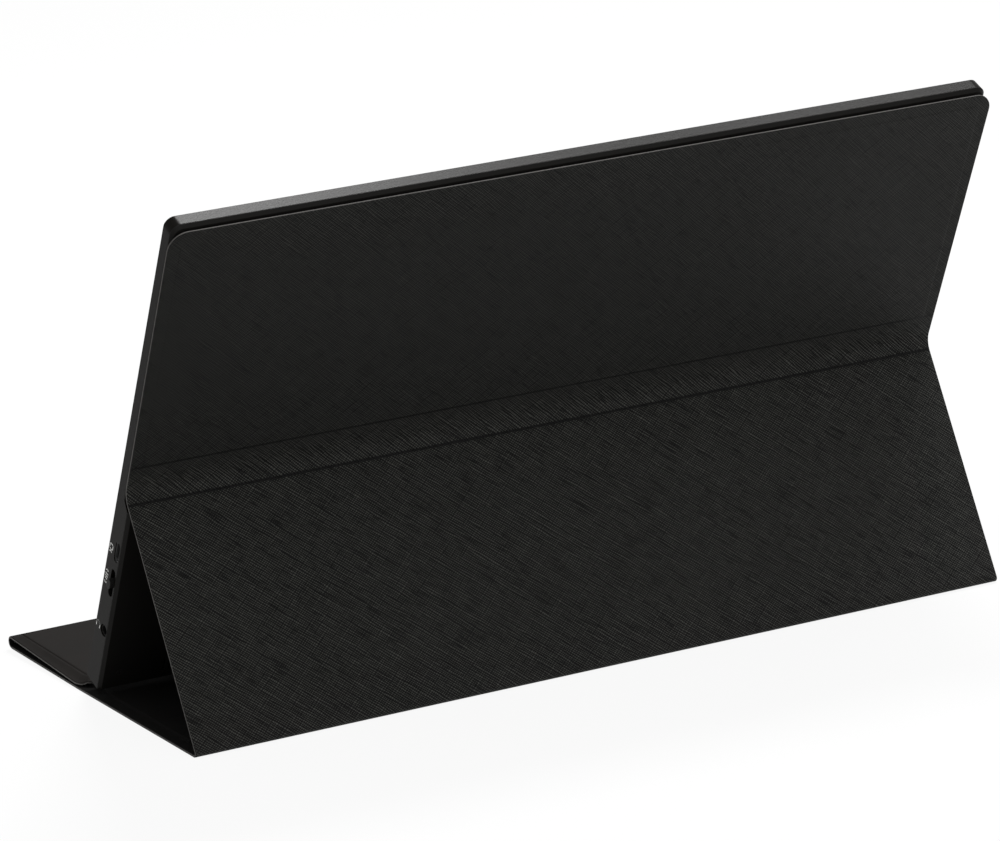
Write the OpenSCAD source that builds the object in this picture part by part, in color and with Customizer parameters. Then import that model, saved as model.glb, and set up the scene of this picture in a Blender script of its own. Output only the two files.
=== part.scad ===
// Portable monitor standing in its folding magnetic cover.
// +Z is up, the screen faces -Y, and the sockets with the menu switch are on the +X side.
// The origin is on the table, under the middle of the cover's base.

/* [Monitor] */
// Width of the monitor
monitor_w = 356; // [330:1:380]
// Height of the monitor, measured along the screen
monitor_h = 217; // [205:1:235]
// Thickness of the monitor's lower part
monitor_t = 10.6; // [10.4:0.1:12]
// How much thinner the upper part is, behind
step_t = 3.6; // [3:0.1:3.8]
// Height of the thick lower part
step_y = 87; // [85:0.5:88]
// Radius of the monitor's corners, seen from the front
monitor_r = 5.5; // [3:0.5:8]
// Thickness of the housing's side walls
wall = 1.4; // [1:0.1:2]
// Height of the rear cover's own side, up to the seam
seam_z = 1.5; // [1.5:0.1:1.8]
// Chamfer round the rear cover
rear_chamfer = 1.2; // [0.4:0.1:1.2]
// Chamfer round the front of the housing
front_chamfer = 0.4; // [0.2:0.1:0.6]
// Thickness of the rear cover's skin
rear_skin = 1.0; // [0.8:0.1:1.2]
// Thickness of the bezel in front of the display
bezel_t = 0.7; // [0.5:0.1:0.9]

/* [Display] */
// Width of the plain border at each side of the picture
side_border = 5.9; // [5:0.1:8]
// Width of the plain border above the picture
top_border = 6.9; // [5:0.1:8]
// Width of the plain border below the picture
foot_border = 16.5; // [14:0.1:20]
// How far the display module runs past the picture at the sides and the top
module_edge = 2.6; // [2:0.1:3]
// How far the display module runs past the picture at the bottom
module_foot = 9; // [7:0.5:10]
// Thickness of the display glass
cell_t = 0.8; // [0.6:0.1:1]
// Thickness of the stack of diffuser films
films_t = 0.3; // [0.2:0.1:0.4]
// Thickness of the light guide
guide_t = 0.5; // [0.4:0.1:0.6]
// Thickness of the reflector sheet
reflector_t = 0.15; // [0.1:0.05:0.2]
// Thickness of the backlight tray's sheet metal
tray_t = 0.25; // [0.2:0.05:0.3]
// Number of lamps on the backlight bar
led_count = 36; // [24:1:48]

/* [Cover] */
// How far the cover runs past the monitor at each side
cover_margin = 1.8; // [0:0.1:4]
// Radius of the cover's free corners
cover_r = 9; // [6:0.5:14]
// Thickness of the outer skin
skin_t = 0.7; // [0.5:0.1:1]
// Thickness of the stiffening boards
board_t = 1.0; // [0.8:0.1:1.4]
// Thickness of the lining
lining_t = 0.4; // [0.3:0.1:0.6]
// Width of the border round each board, where skin and lining meet
rim = 5.3; // [4:0.1:8]
// Length of the base, from its rear fold to its front fold
base_len = 161.5; // [150:0.5:175]
// Length of the leg, from the rear fold to the crease behind the monitor
leg_len = 102; // [98:0.5:108]
// Height of that crease above the top of the monitor's thick part
crease_rise = 8; // [7:0.5:12]
// How far the back panel's top edge lies below the monitor's top
top_inset = 1.5; // [0:0.1:3]
// Lean of the monitor back from upright
lean = 23.9; // [18:0.1:30]
// Distance from the rear fold to the crease that makes the spine
spine_w = 14; // [12:0.5:18]
// Width of the flexible strip without a board above the crease
soft_w = 13; // [8:0.5:18]
// Angle by which the front of the base springs up from the table
front_spring = 0.7; // [0:0.1:3]
// Distance from the front fold to where the base starts to spring up
spring_len = 62; // [45:1:75]

/* [Folds] */
// Outer radius of the rear fold
rear_r = 1.8; // [1.6:0.1:4]
// Outer radius of the front fold
front_r = 2.6; // [2.4:0.1:3.5]
// Radius of the crease behind the monitor, on its hollow side
crease_r = 8.4; // [4:0.2:12]

/* [Magnets] */
// Length of a magnet
magnet_l = 20; // [12:1:26]
// Width of a magnet
magnet_w = 6; // [4:0.5:8]
// Magnets in each row of the back panel
magnet_cols = 6; // [3:1:8]
// Distance from the back panel's top edge to its upper row of magnets
magnet_drop = 16; // [14:1:24]
// Distance between the two rows of magnets
magnet_rise = 62; // [40:1:68]
// Magnets along the flap's free end
flap_magnets_n = 4; // [2:1:6]

/* [Side sockets] */
// Height of the earphone socket above the monitor's lower edge
jack_y = 27.9; // [25:0.1:30]
// Radius of the earphone socket's bore
jack_bore_r = 1.8; // [1.7:0.05:1.9]
// Depth of the earphone socket
jack_depth = 14; // [12:0.5:16]
// Height of the menu switch above the monitor's lower edge
jog_y = 51.1; // [48:0.1:53]
// Length of the menu switch's slot
jog_slot_l = 12.6; // [10:0.1:14]
// Width of the menu switch's slot
jog_slot_w = 3.2; // [2.8:0.1:3.4]
// Height of the right type C socket above the monitor's lower edge
port_y = 65.9; // [65:0.1:68]
// Width of a type C socket
port_w = 8.9; // [8.7:0.1:9.1]
// Thickness of a type C socket
port_t = 3.1; // [2.9:0.1:3.2]
// Depth of a type C socket
port_d = 7.3; // [6:0.1:9]
// Distance of all sockets from the monitor's rear face
port_z = 3.75; // [3.7:0.05:3.9]
// Height of the left type C socket above the monitor's lower edge
left_port_y = 62; // [58:0.5:64]
// Height of the video socket above the monitor's lower edge
video_y = 44; // [42:0.5:46]
// Width of the video socket
video_w = 11; // [10.4:0.1:11.4]
// Height of the power button above the monitor's lower edge
power_y = 26; // [22:0.5:30]
// Length of the power button
power_l = 8; // [6:0.5:10]

/* [Circuit boards] */
// Thickness of the circuit boards
pcb_t = 1.0; // [0.8:0.1:1.2]
// Width of the controller board
controller_w = 92; // [70:1:100]
// Height of both circuit boards
controller_h = 68; // [64:1:68]
// Height of the circuit boards' lower edges above the monitor's lower edge
controller_y = 15; // [14:0.5:17]
// Width of the socket board on the left
socket_board_w = 30; // [24:1:40]
// Radius of the standoffs
standoff_r = 2.2; // [1.8:0.1:2.6]
// Radius of the small screws' shanks
screw_r = 0.7; // [0.5:0.05:0.8]

/* [Speakers] */
// Length of a speaker
speaker_l = 50; // [36:1:60]
// Height of a speaker
speaker_h = 10; // [8:0.5:11]
// Thickness of a speaker
speaker_t = 5; // [3:0.1:5.5]
// Distance from the monitor's side to a speaker
speaker_x = 14; // [10:1:24]
// Number of sound slots over each speaker
slot_count = 10; // [6:1:12]
// Width of a sound slot
slot_w = 1.2; // [0.8:0.1:1.6]

/* [Clearances] */
// Gap between the cover's lining and what lies on it
seat_gap = 0.3; // [0.2:0.05:0.5]
// Gap between the flap's end and the monitor
flap_clear = 0.4; // [0.3:0.05:0.8]
// Gap between inner pieces that fit side by side
fit = 0.2; // [0.1:0.05:0.3]
// Seam between a fold and the panels that it joins, as an angle in degrees
fold_seam = 2; // [1:0.5:4]
// Travel of the buttons
press = 0.3; // [0.2:0.05:0.35]

/* [Hidden] */
$fn = 48;

// Past-the-face length of every cutting solid
over = 1;

// Cover: its width, thicknesses and the places of its folds
cover_w = monitor_w + 2 * cover_margin;
cover_t = skin_t + board_t + lining_t;
strip_t = skin_t + lining_t;
rear_y = base_len / 2;
front_y = -base_len / 2;
hang = step_y + crease_rise;
back_len = monitor_h - top_inset - hang;
rest_z = cover_t + seat_gap;
// Depth of the back panel's outer face behind the monitor's thick lower part
back_off = cover_t + seat_gap - step_t;
crease_z = rest_z + hang * cos(lean) - back_off * sin(lean);
leg_angle = asin(crease_z / leg_len);
crease_y = rear_y - leg_len * cos(leg_angle);
rear_bend = 180 - leg_angle;
crease_bend = rear_bend - (90 - lean);
rear_run = rear_r * tan(rear_bend / 2);
crease_run = crease_r * tan(crease_bend / 2);
// Each board ends this far short of a fold's start
fold_inset = lining_t + fit;
// Beside the rear fold they end where their linings meet, or at the fold
rear_board_end = max(rear_run, cover_t / tan(leg_angle / 2)) + fold_inset;

// Base: it lies flat from the rear fold to the spring line, then rises to the front fold
spring_y = front_y + spring_len;
front_start = -(spring_len - front_r);

// Monitor's lower rear edge on the base
foot_y = crease_y - hang * sin(lean) - back_off * cos(lean);
toe_y = foot_y - monitor_t * cos(lean);

// Flap: it lies back over the base and ends just in front of the monitor's lower front edge
flap_root_y = spring_y + front_start * cos(front_spring) + 2 * front_r * sin(front_spring);
flap_root_z = 2 * front_r * cos(front_spring) - front_start * sin(front_spring);
flap_end_y = toe_y - flap_clear;
flap_end_z = 2 * cover_t + seat_gap + max(0, spring_y - flap_end_y) * sin(front_spring);
flap_tilt = atan((flap_root_z - flap_end_z) / (flap_end_y - flap_root_y));
flap_len = norm([flap_end_y - flap_root_y, flap_root_z - flap_end_z]);

// Lengthwise spans of the panels and boards, each from its low end to its high end
base_rear = rear_y - rear_run;
spine_gap = 4;
spine_low = rear_y - spine_w + spine_gap / 2;
base_board_high = rear_y - spine_w - spine_gap / 2;
spine_high = rear_y - rear_board_end;
leg_span = [rear_run, leg_len - crease_run];
back_span = [crease_run, back_len];
flap_span = [-flap_len, 0];
leg_board_span = [rear_board_end, leg_span[1] - fold_inset];
back_board_span = [soft_w, back_len - rim];
flap_board_span = [-flap_len + rim, -fold_inset];
board_w = cover_w - 2 * rim;
board_r = max(cover_r - rim, 1);

// Magnet rows
back_rows = [back_len - magnet_drop, back_len - magnet_drop - magnet_rise];
flap_row = -flap_len + rim + magnet_w;

// Monitor: heights above its lower edge, and depths from its lower part's rear face
side_x = monitor_w / 2;
active_w = monitor_w - 2 * side_border;
active_h = monitor_h - top_border - foot_border;
active_y = foot_border;
module_w = active_w + 2 * module_edge;
module_y = [active_y - module_foot, active_y + active_h + module_edge];
glass_z = monitor_t - bezel_t - cell_t;
films_z = glass_z - films_t;
guide_z = films_z - guide_t;
reflector_z = guide_z - reflector_t;
tray_z = reflector_z - tray_t;
plate_t = 0.5;
plate_z = tray_z - plate_t;
pcb_z = port_z - pcb_t / 2;
frame_w = 0.8;
tray_wall = 0.3;
led_foot = 4.5;
lip_t = 1.0;
lip_h = 1.4;
lip_inset = 24;
ribbon_t = 0.3;
ribbon_w = 8;
ribbon_lap = 7;

// Display's own board, behind the display's foot and clear of the controller's inner edge
board_x = side_x - wall - 2 * fit;
panel_lap = 6;
panel_half = board_x - controller_w + panel_lap;
panel_board_h = 7;
panel_board_low = module_y[0] + 0.5;
panel_board_y = [panel_board_low, panel_board_low + panel_board_h];
panel_board_t = 0.8;

// Chips: their sides and thicknesses, and their places from a board's inner lower corner
scaler_w = 16;
scaler_t = 1;
scaler_x = 30;
scaler_y = 42;
chip_gap = 8;
memory_w = 12;
memory_h = 9;
memory_t = 0.9;
memory_y = scaler_y + chip_gap / 2;
coil_w = 7;
coil_t = 1.5;
coil_x = 18;
coil_y = 11;
coil_pitch = 16;
clock_w = 6;
clock_h = 5;
clock_t = 0.8;

// Speakers: heights above the monitor's lower edge and their middles
speaker_y = wall + 2 * fit + lip_t;
speaker_mid_y = speaker_y + speaker_h / 2;
speaker_mid_x = side_x - speaker_x - speaker_l / 2;
slot_pitch = 2.2 * slot_w;

// Sockets: mouths lie this far inside the wall's outer face
mouth = 0.4;
nose_r = 2.4;
nose_l = 2;
jack_w = 6.2;
jack_t = 5;
jack_recess = 0.5;
jack_floor = side_x - jack_recess - jack_depth;
jack_back = jack_floor - 0.8;

// Screws: places of the rear cover's and the boards' screws, as [x, y]
screw_in = 8;
head_r = 1.4;
head_h = 0.7;
screw_short = 1;
board_screw_in = 5;
inner_screw_x = panel_half + standoff_r + 2;
outer_screw_x = side_x - screw_in;
top_screw_y = monitor_h - screw_in;
right_screws = [[outer_screw_x, screw_in], [inner_screw_x, screw_in], [outer_screw_x, monitor_h / 2],
                [outer_screw_x, top_screw_y], [outer_screw_x / 3, top_screw_y]];
cover_screws = [for (side = [-1, 1], p = right_screws) [side * p[0], p[1]]];
board_screw_y = [controller_y + board_screw_in, controller_y + controller_h - board_screw_in];
right_board_screws = [for (x = [board_x - controller_w + board_screw_in, jack_back - standoff_r - 2],
                           y = board_screw_y) [x, y]];
left_board_screws = [for (y = board_screw_y) [socket_board_w - board_x - board_screw_in, y]];
board_screw_places = concat(right_board_screws, left_board_screws);

// Menu switch and power button
jog_frame_l = 9;
jog_frame_d = 6.4;
jog_frame_t = 3.1;
lever_x = side_x - 4.6;
lever_t = 1.2;
hub_r = 1.2;
knob_l = 4.2;
knob_out = 1.5;
pin_r = 0.4;
button_t = 2.6;
button_out = 0.4;
flange_t = 0.6;
stem_l = 0.6;
switch_x = wall + fit / 2 + flange_t + stem_l + press + fit;
switch_d = 2.2;

// Rear face at a height: the upper part's lies further forward
function rear_z(y) = y > step_y ? step_t : 0;

// ---- Frames ----
module in_front() {
    translate([0, spring_y, 0]) rotate([-front_spring, 0, 0]) children();
}

module in_leg() {
    translate([0, rear_y, 0]) rotate([rear_bend, 0, 0]) children();
}

module in_back() {
    translate([0, crease_y, crease_z]) rotate([90 - lean, 0, 0]) children();
}

module in_flap() {
    translate([0, flap_root_y, flap_root_z]) rotate([180 - flap_tilt, 0, 0]) children();
}

module in_monitor() {
    in_back() translate([0, -hang, back_off]) children();
}

// ---- Shared forms ----
// Flat outline from y0 to y1 with its own corner radius at each end
module plan(w, span, r0 = 0, r1 = 0) {
    translate([-w / 2, span[0] + r0]) square([w, span[1] - span[0] - r0 - r1]);
    for (side = [-1, 1]) {
        if (r0 > 0) translate([side * (w / 2 - r0), span[0] + r0]) circle(r0);
        if (r1 > 0) translate([side * (w / 2 - r1), span[1] - r1]) circle(r1);
    }
    if (r0 > 0) translate([r0 - w / 2, span[0]]) square([w - 2 * r0, 2 * r0]);
    if (r1 > 0) translate([r1 - w / 2, span[1] - 2 * r1]) square([w - 2 * r1, 2 * r1]);
}

// Plate of a flat outline between two heights
module plate(w, span, z0, z1, r0 = 0, r1 = 0) {
    translate([0, 0, z0]) linear_extrude(z1 - z0) plan(w, span, r0, r1);
}

// Slab with rounded corners and one chamfered edge, at z = 0
module chamfered_slab(w, h, t, r, c) {
    module across(d)
        polygon([[-d / 2 + c, 0], [d / 2 - c, 0], [d / 2, c], [d / 2, t], [-d / 2, t], [-d / 2, c]]);
    rotate([90, 0, 90]) translate([0, 0, r - w / 2]) linear_extrude(w - 2 * r) across(h);
    rotate([90, 0, 0]) translate([0, 0, r - h / 2]) linear_extrude(h - 2 * r) across(w);
    for (k = [0 : 3])
        rotate([0, 0, 90 * k])
            translate([(k % 2 == 0 ? w : h) / 2 - r, (k % 2 == 0 ? h : w) / 2 - r, 0])
                rotate_extrude(angle = 90)
                    polygon([[0, 0], [r - c, 0], [r, c], [r, t], [0, t]]);
}

// Flat slot outline with round ends, long along y
module slot_plan(l, w) {
    square([w, l - w], center = true);
    for (side = [-1, 1]) translate([0, side * (l - w) / 2]) circle(w / 2);
}

// Bar of a given (y, z) profile across the middle plane
module cross_bar(half_w, profile) {
    rotate([90, 0, 90]) translate([0, 0, -half_w]) linear_extrude(2 * half_w) polygon(profile);
}

// Bar with a slot outline that runs from x0 to x1
module side_bar(l, w, x0, x1) {
    translate([x0, 0, 0]) rotate([0, 90, 0]) linear_extrude(x1 - x0) slot_plan(l, w);
}

// Bent sheet along the fold: it starts pointing down and turns towards +y
module fold(r_out, bend) {
    rotate([fold_seam, 0, 0]) rotate([0, 90, 0])
        rotate_extrude(angle = bend - 2 * fold_seam)
            translate([r_out - strip_t, -cover_w / 2]) square([strip_t, cover_w]);
}

// Sheet that lies flat from y1 to the spring line, then rises to y0 in the raised front's frame
module base_sheet(w, y0, y1, z0, z1) {
    function mitre(z) = [spring_y + z * tan(front_spring / 2), z];
    function raised(z) = [spring_y + y0 * cos(front_spring) + z * sin(front_spring),
                          z * cos(front_spring) - y0 * sin(front_spring)];
    rotate([90, 0, 90]) translate([0, 0, -w / 2]) linear_extrude(w)
        polygon([raised(z0), mitre(z0), [y1, z0], [y1, z1], mitre(z1), raised(z1)]);
}

// Lining drawn over one board: a flat border and a raised tray with the board's space inside
module formed_lining(span, board_span, r0, r1) {
    r0b = r0 > 0 ? board_r : 0;
    r1b = r1 > 0 ? board_r : 0;
    difference() {
        union() {
            plate(cover_w, span, skin_t, strip_t, r0, r1);
            plate(board_w + 2 * lining_t, [board_span[0] - lining_t, board_span[1] + lining_t],
                  skin_t, cover_t, r0b > 0 ? r0b + lining_t : 0, r1b > 0 ? r1b + lining_t : 0);
        }
        plate(board_w, board_span, skin_t - over, skin_t + board_t, r0b, r1b);
    }
}

// Row of n blocks in the plane of a board, each grown by a clearance
module magnet_row(n, y, grow, extra) {
    pitch = (board_w - 2 * magnet_l) / n;
    for (i = [0 : n - 1])
        translate([(i - (n - 1) / 2) * pitch - magnet_l / 2 - grow, y - magnet_w / 2 - grow, skin_t - extra])
            cube([magnet_l + 2 * grow, magnet_w + 2 * grow, board_t + 2 * extra]);
}

// ---- Cover: base ----
module base_skin() {
    color("#1c1d1c") base_sheet(cover_w, front_start, base_rear, 0, skin_t);
}

module base_board() {
    color("#5b5348")
        base_sheet(board_w, front_start + fold_inset, base_board_high, skin_t, skin_t + board_t);
}

module spine_board() {
    color("#5b5348") plate(board_w, [spine_low, spine_high], skin_t, skin_t + board_t);
}

module base_lining() {
    color("#1a1817") difference() {
        union() {
            base_sheet(cover_w, front_start, base_rear, skin_t, strip_t);
            base_sheet(board_w + 2 * lining_t, front_start + fold_inset - lining_t,
                       base_board_high + lining_t, skin_t, cover_t);
            plate(board_w + 2 * lining_t, [spine_low - lining_t, spine_high + lining_t], skin_t, cover_t);
        }
        base_sheet(board_w, front_start + fold_inset, base_board_high, skin_t - over, skin_t + board_t);
        plate(board_w, [spine_low, spine_high], skin_t - over, skin_t + board_t);
    }
}

// ---- Cover: flap ----
module flap_skin() {
    color("#2a2826") in_flap() plate(cover_w, flap_span, 0, skin_t, cover_r);
}

module flap_lining() {
    color("#1a1817") in_flap() formed_lining(flap_span, flap_board_span, cover_r, 0);
}

module flap_board() {
    color("#5b5348") in_flap() difference() {
        plate(board_w, flap_board_span, skin_t, skin_t + board_t, board_r);
        magnet_row(flap_magnets_n, flap_row, fit, over);
    }
}

module flap_magnets() {
    color("#9a9ca0") in_flap() magnet_row(flap_magnets_n, flap_row, 0, 0);
}

// ---- Cover: leg ----
module leg_skin() {
    color("#20211f") in_leg() plate(cover_w, leg_span, 0, skin_t);
}

module leg_lining() {
    color("#1a1817") in_leg() formed_lining(leg_span, leg_board_span, 0, 0);
}

module leg_board() {
    color("#5b5348") in_leg() plate(board_w, leg_board_span, skin_t, skin_t + board_t);
}

// ---- Cover: back panel ----
module back_skin() {
    color("#20211f") in_back() plate(cover_w, back_span, 0, skin_t, 0, cover_r);
}

module back_lining() {
    color("#1a1817") in_back() formed_lining(back_span, back_board_span, 0, cover_r);
}

module back_board() {
    color("#5b5348") in_back() difference() {
        plate(board_w, back_board_span, skin_t, skin_t + board_t, 0, board_r);
        for (y = back_rows) magnet_row(magnet_cols, y, fit, over);
    }
}

module back_magnets() {
    color("#9a9ca0") in_back() for (y = back_rows) magnet_row(magnet_cols, y, 0, 0);
}

// ---- Cover: folds ----
module front_fold() {
    color("#1c1d1c") in_front() translate([0, front_start, front_r])
        rotate([-180, 0, 0]) fold(front_r, 180);
}

module rear_fold() {
    color("#20211f") translate([0, base_rear, rear_r]) fold(rear_r, rear_bend);
}

module crease_fold() {
    color("#20211f") in_leg() translate([0, leg_span[1], -crease_r])
        rotate([180 - crease_bend, 0, 0]) fold(crease_r + strip_t, crease_bend);
}

// ---- Monitor: housing ----
// Everything that the sockets and buttons need open in the side walls
module side_openings() {
    x0 = side_x - wall - over;
    x1 = side_x + over;
    translate([0, jog_y, port_z]) side_bar(jog_slot_l, jog_slot_w, x0, x1);
    translate([0, port_y, port_z]) side_bar(port_w + fit, port_t + fit, x0, x1);
    translate([side_x - nose_l, jack_y, port_z]) rotate([0, 90, 0])
        cylinder(r = nose_r + fit / 2, h = nose_l + over);
    mirror([1, 0, 0]) {
        translate([0, power_y, port_z]) side_bar(power_l + fit, button_t + fit, x0, x1);
        translate([0, left_port_y, port_z]) side_bar(port_w + fit, port_t + fit, x0, x1);
        translate([x0, video_y, port_z]) rotate([90, 0, 90]) linear_extrude(x1 - x0)
            video_plan(video_w + fit, port_t + fit);
    }
}

module front_housing() {
    color("#2e2b29") in_monitor() difference() {
        translate([0, monitor_h / 2, monitor_t]) mirror([0, 0, 1])
            chamfered_slab(monitor_w, monitor_h, monitor_t - seam_z, monitor_r, front_chamfer);
        cross_bar(side_x + over, [[step_y, seam_z], [step_y + step_t, seam_z + step_t],
                                  [monitor_h + over, seam_z + step_t], [monitor_h + over, seam_z - over],
                                  [step_y, seam_z - over]]);
        plate(monitor_w - 2 * wall, [wall, monitor_h - wall], seam_z - over, tray_z,
              monitor_r - wall, monitor_r - wall);
        plate(module_w + fit, [module_y[0] - fit / 2, module_y[1] + fit / 2], tray_z - over, glass_z + cell_t);
        plate(active_w, [active_y, active_y + active_h], tray_z, monitor_t + over);
        side_openings();
    }
}

// Rear cover's outer form: two chamfered slabs, one step apart, and the slope between them
module rear_form(t) {
    module slab()
        translate([0, monitor_h / 2, 0]) chamfered_slab(monitor_w, monitor_h, t, monitor_r, rear_chamfer);
    difference() {
        slab();
        translate([-side_x - over, step_y, -over]) cube([monitor_w + 2 * over, monitor_h, t + 2 * over]);
    }
    translate([0, 0, step_t]) difference() {
        slab();
        translate([-side_x - over, -over, -over])
            cube([monitor_w + 2 * over, step_y + step_t + over, t + 2 * over]);
    }
    cross_bar(side_x - rear_chamfer, step_profile(0, t));
}

// Band along the slope from height z0 to z1 above the rear face, running a little into both parts
function step_profile(z0, z1) = [[step_y - over, z0], [step_y, z0], [step_y + step_t, step_t + z0],
                                 [step_y + step_t + over, step_t + z0], [step_y + step_t + over, step_t + z1],
                                 [step_y + step_t, step_t + z1], [step_y, z1], [step_y - over, z1]];

module rear_cover() {
    inner_w = monitor_w - 2 * wall;
    inner_r = monitor_r - wall;
    top = seam_z + over;
    upper_y = [step_y + step_t, monitor_h - wall];
    color("#262423") in_monitor() difference() {
        union() {
            difference() {
                rear_form(seam_z - fit / 2);
                plate(inner_w, [wall, step_y], rear_skin, top, inner_r, 0);
                plate(inner_w, upper_y, step_t + rear_skin, step_t + top, 0, inner_r);
                cross_bar(inner_w / 2, step_profile(rear_skin, top));
            }
            for (y = [wall + fit / 2, monitor_h - wall - fit / 2 - lip_t])
                plate(monitor_w - 2 * lip_inset, [y, y + lip_t],
                      rear_z(y) + rear_skin / 2, rear_z(y) + seam_z + lip_h);
        }
        for (p = cover_screws) translate([p[0], p[1], rear_z(p[1])]) {
            translate([0, 0, -over]) cylinder(r = screw_r + fit / 2, h = rear_skin + 2 * over);
            translate([0, 0, -fit / 2]) cylinder(r1 = head_r + fit, r2 = screw_r, h = head_h + fit);
        }
        for (side = [-1, 1], i = [0 : slot_count - 1])
            translate([side * speaker_mid_x + (i - (slot_count - 1) / 2) * slot_pitch, speaker_mid_y, -over])
                linear_extrude(rear_skin + 2 * over) slot_plan(speaker_h - 3, slot_w);
        side_openings();
    }
}

// Small countersunk screw pointing along +z, with a six-sided drive
module small_screw(shank) {
    difference() {
        union() {
            cylinder(r1 = head_r, r2 = screw_r, h = head_h);
            cylinder(r = screw_r, h = shank);
        }
        translate([0, 0, -over]) cylinder(r = 0.6, h = over + 0.4, $fn = 6);
    }
}

module rear_screws() {
    color("#3b3b3c") in_monitor() for (p = cover_screws)
        translate([p[0], p[1], rear_z(p[1])]) small_screw(plate_z - rear_z(p[1]) - screw_short);
}

module board_screws() {
    color("#a9abac") in_monitor() for (p = board_screw_places)
        translate([p[0], p[1], pcb_z - head_h - fit]) {
            cylinder(r = head_r, h = head_h + fit);
            cylinder(r = screw_r, h = plate_z - pcb_z + head_h);
        }
}

// ---- Monitor: display ----
module display_glass() {
    color("#0b0c0e") in_monitor()
        plate(module_w - fit, [module_y[0] + fit / 2, module_y[1] - fit / 2], glass_z, glass_z + cell_t);
}

// Outline inside the display module, a distance in from its edge, with its own distance at the foot
module module_plate(inset, foot, z0, z1) {
    plate(module_w - 2 * inset, [module_y[0] + foot, module_y[1] - inset], z0, z1);
}

module diffuser_films() {
    inset = tray_wall + fit + frame_w + fit;
    color("#e8e9ea") in_monitor() module_plate(inset, inset, films_z, glass_z);
}

module light_guide() {
    inset = tray_wall + fit + frame_w + fit;
    color("#dfe6ea") in_monitor() module_plate(inset, led_foot, guide_z, films_z);
}

module reflector_sheet() {
    inset = tray_wall + fit;
    color("#f4f4f4") in_monitor() module_plate(inset, inset, reflector_z, guide_z);
}

module backlight_tray() {
    color("#a7aaad") in_monitor() difference() {
        module_plate(0, 0, tray_z, glass_z);
        module_plate(tray_wall, tray_wall, reflector_z, glass_z + over);
    }
}

module panel_frame() {
    outer = tray_wall + fit;
    inner = outer + frame_w;
    color("#f0f0ee") in_monitor() difference() {
        module_plate(outer, outer, guide_z, glass_z);
        module_plate(inner, inner, guide_z - over, glass_z + over);
    }
}

module led_bar() {
    inset = tray_wall + fit + frame_w + fit;
    bar_w = module_w - 2 * inset;
    bar_t = 0.15;
    lamp = [3, 1, guide_t - bar_t];
    foot = module_y[0] + inset;
    lamp_y = module_y[0] + led_foot - fit - lamp[1];
    pitch = bar_w / led_count;
    color("#d8cf9a") in_monitor() {
        translate([-bar_w / 2, foot, guide_z]) cube([bar_w, module_y[0] + led_foot - fit - foot, bar_t]);
        for (i = [0 : led_count - 1])
            translate([(i + 0.5) * pitch - bar_w / 2 - lamp[0] / 2, lamp_y, guide_z + bar_t]) cube(lamp);
    }
}

module panel_board() {
    color("#1f5a38") in_monitor() {
        plate(2 * panel_half, panel_board_y, tray_z - panel_board_t, tray_z);
        for (x = [-0.6, -0.1, 0.45])
            translate([x * panel_half, panel_board_y[0] + 2, tray_z - panel_board_t - 0.6]) cube([9, 3, 0.6]);
    }
}

// ---- Monitor: support plate and what the magnets catch ----
module support_plate() {
    inset = wall + fit;
    color("#b4b6b8") in_monitor() difference() {
        union() {
            plate(monitor_w - 2 * inset, [inset, monitor_h - inset], plate_z, tray_z,
                  monitor_r - wall, monitor_r - wall);
            for (p = cover_screws)
                translate([p[0], p[1], rear_z(p[1]) + rear_skin])
                    cylinder(r = standoff_r, h = plate_z - rear_z(p[1]) - rear_skin + plate_t / 2);
            for (p = board_screw_places)
                translate([p[0], p[1], pcb_z + pcb_t])
                    cylinder(r = standoff_r, h = plate_z - pcb_z - pcb_t + plate_t / 2);
        }
        for (p = concat(cover_screws, board_screw_places))
            translate([p[0], p[1], 0]) cylinder(r = screw_r + fit / 4, h = plate_z + plate_t / 2);
        plate(2 * (panel_half + fit), [panel_board_y[0] - fit, panel_board_y[1] + fit],
              plate_z - over, tray_z + over);
    }
}

module catch_strips() {
    pitch = (board_w - 2 * magnet_l) / magnet_cols;
    strip_l = (magnet_cols - 1) * pitch + magnet_l + 4;
    strip_z = step_t + rear_skin;
    color("#8d9093") in_monitor() for (y = back_rows)
        plate(strip_l, [hang + y - magnet_w / 2 - 1, hang + y + magnet_w / 2 + 1], strip_z, strip_z + 0.6);
}

// ---- Monitor: circuit boards ----
// Space that a socket or switch takes out of a board's edge
module edge_notch(y, w, depth) {
    translate([side_x - depth - fit, y - w / 2 - fit, 0]) cube([depth + fit + over, w + 2 * fit, monitor_t]);
}

module screw_holes(places) {
    for (p = places) translate([p[0], p[1], 0]) cylinder(r = screw_r + fit, h = monitor_t);
}

module controller_board() {
    color("#1f5a38") in_monitor() difference() {
        translate([board_x - controller_w, controller_y, pcb_z]) cube([controller_w, controller_h, pcb_t]);
        edge_notch(jack_y, jack_w, side_x - jack_back);
        edge_notch(jog_y, jog_frame_l, wall + fit + jog_frame_d);
        edge_notch(port_y, port_w, port_d + mouth);
        screw_holes(right_board_screws);
    }
}

module socket_board() {
    color("#1f5a38") in_monitor() difference() {
        translate([-board_x, controller_y, pcb_z]) cube([socket_board_w, controller_h, pcb_t]);
        mirror([1, 0, 0]) {
            edge_notch(power_y, power_l + 2, switch_x + switch_d);
            edge_notch(video_y, video_w, port_d + mouth);
            edge_notch(left_port_y, port_w, port_d + mouth);
        }
        screw_holes(left_board_screws);
    }
}

// Chip on a board's rear face
module chip(x, y, w, h, t) {
    translate([x, controller_y + y, pcb_z - t]) cube([w, h, t]);
}

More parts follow.
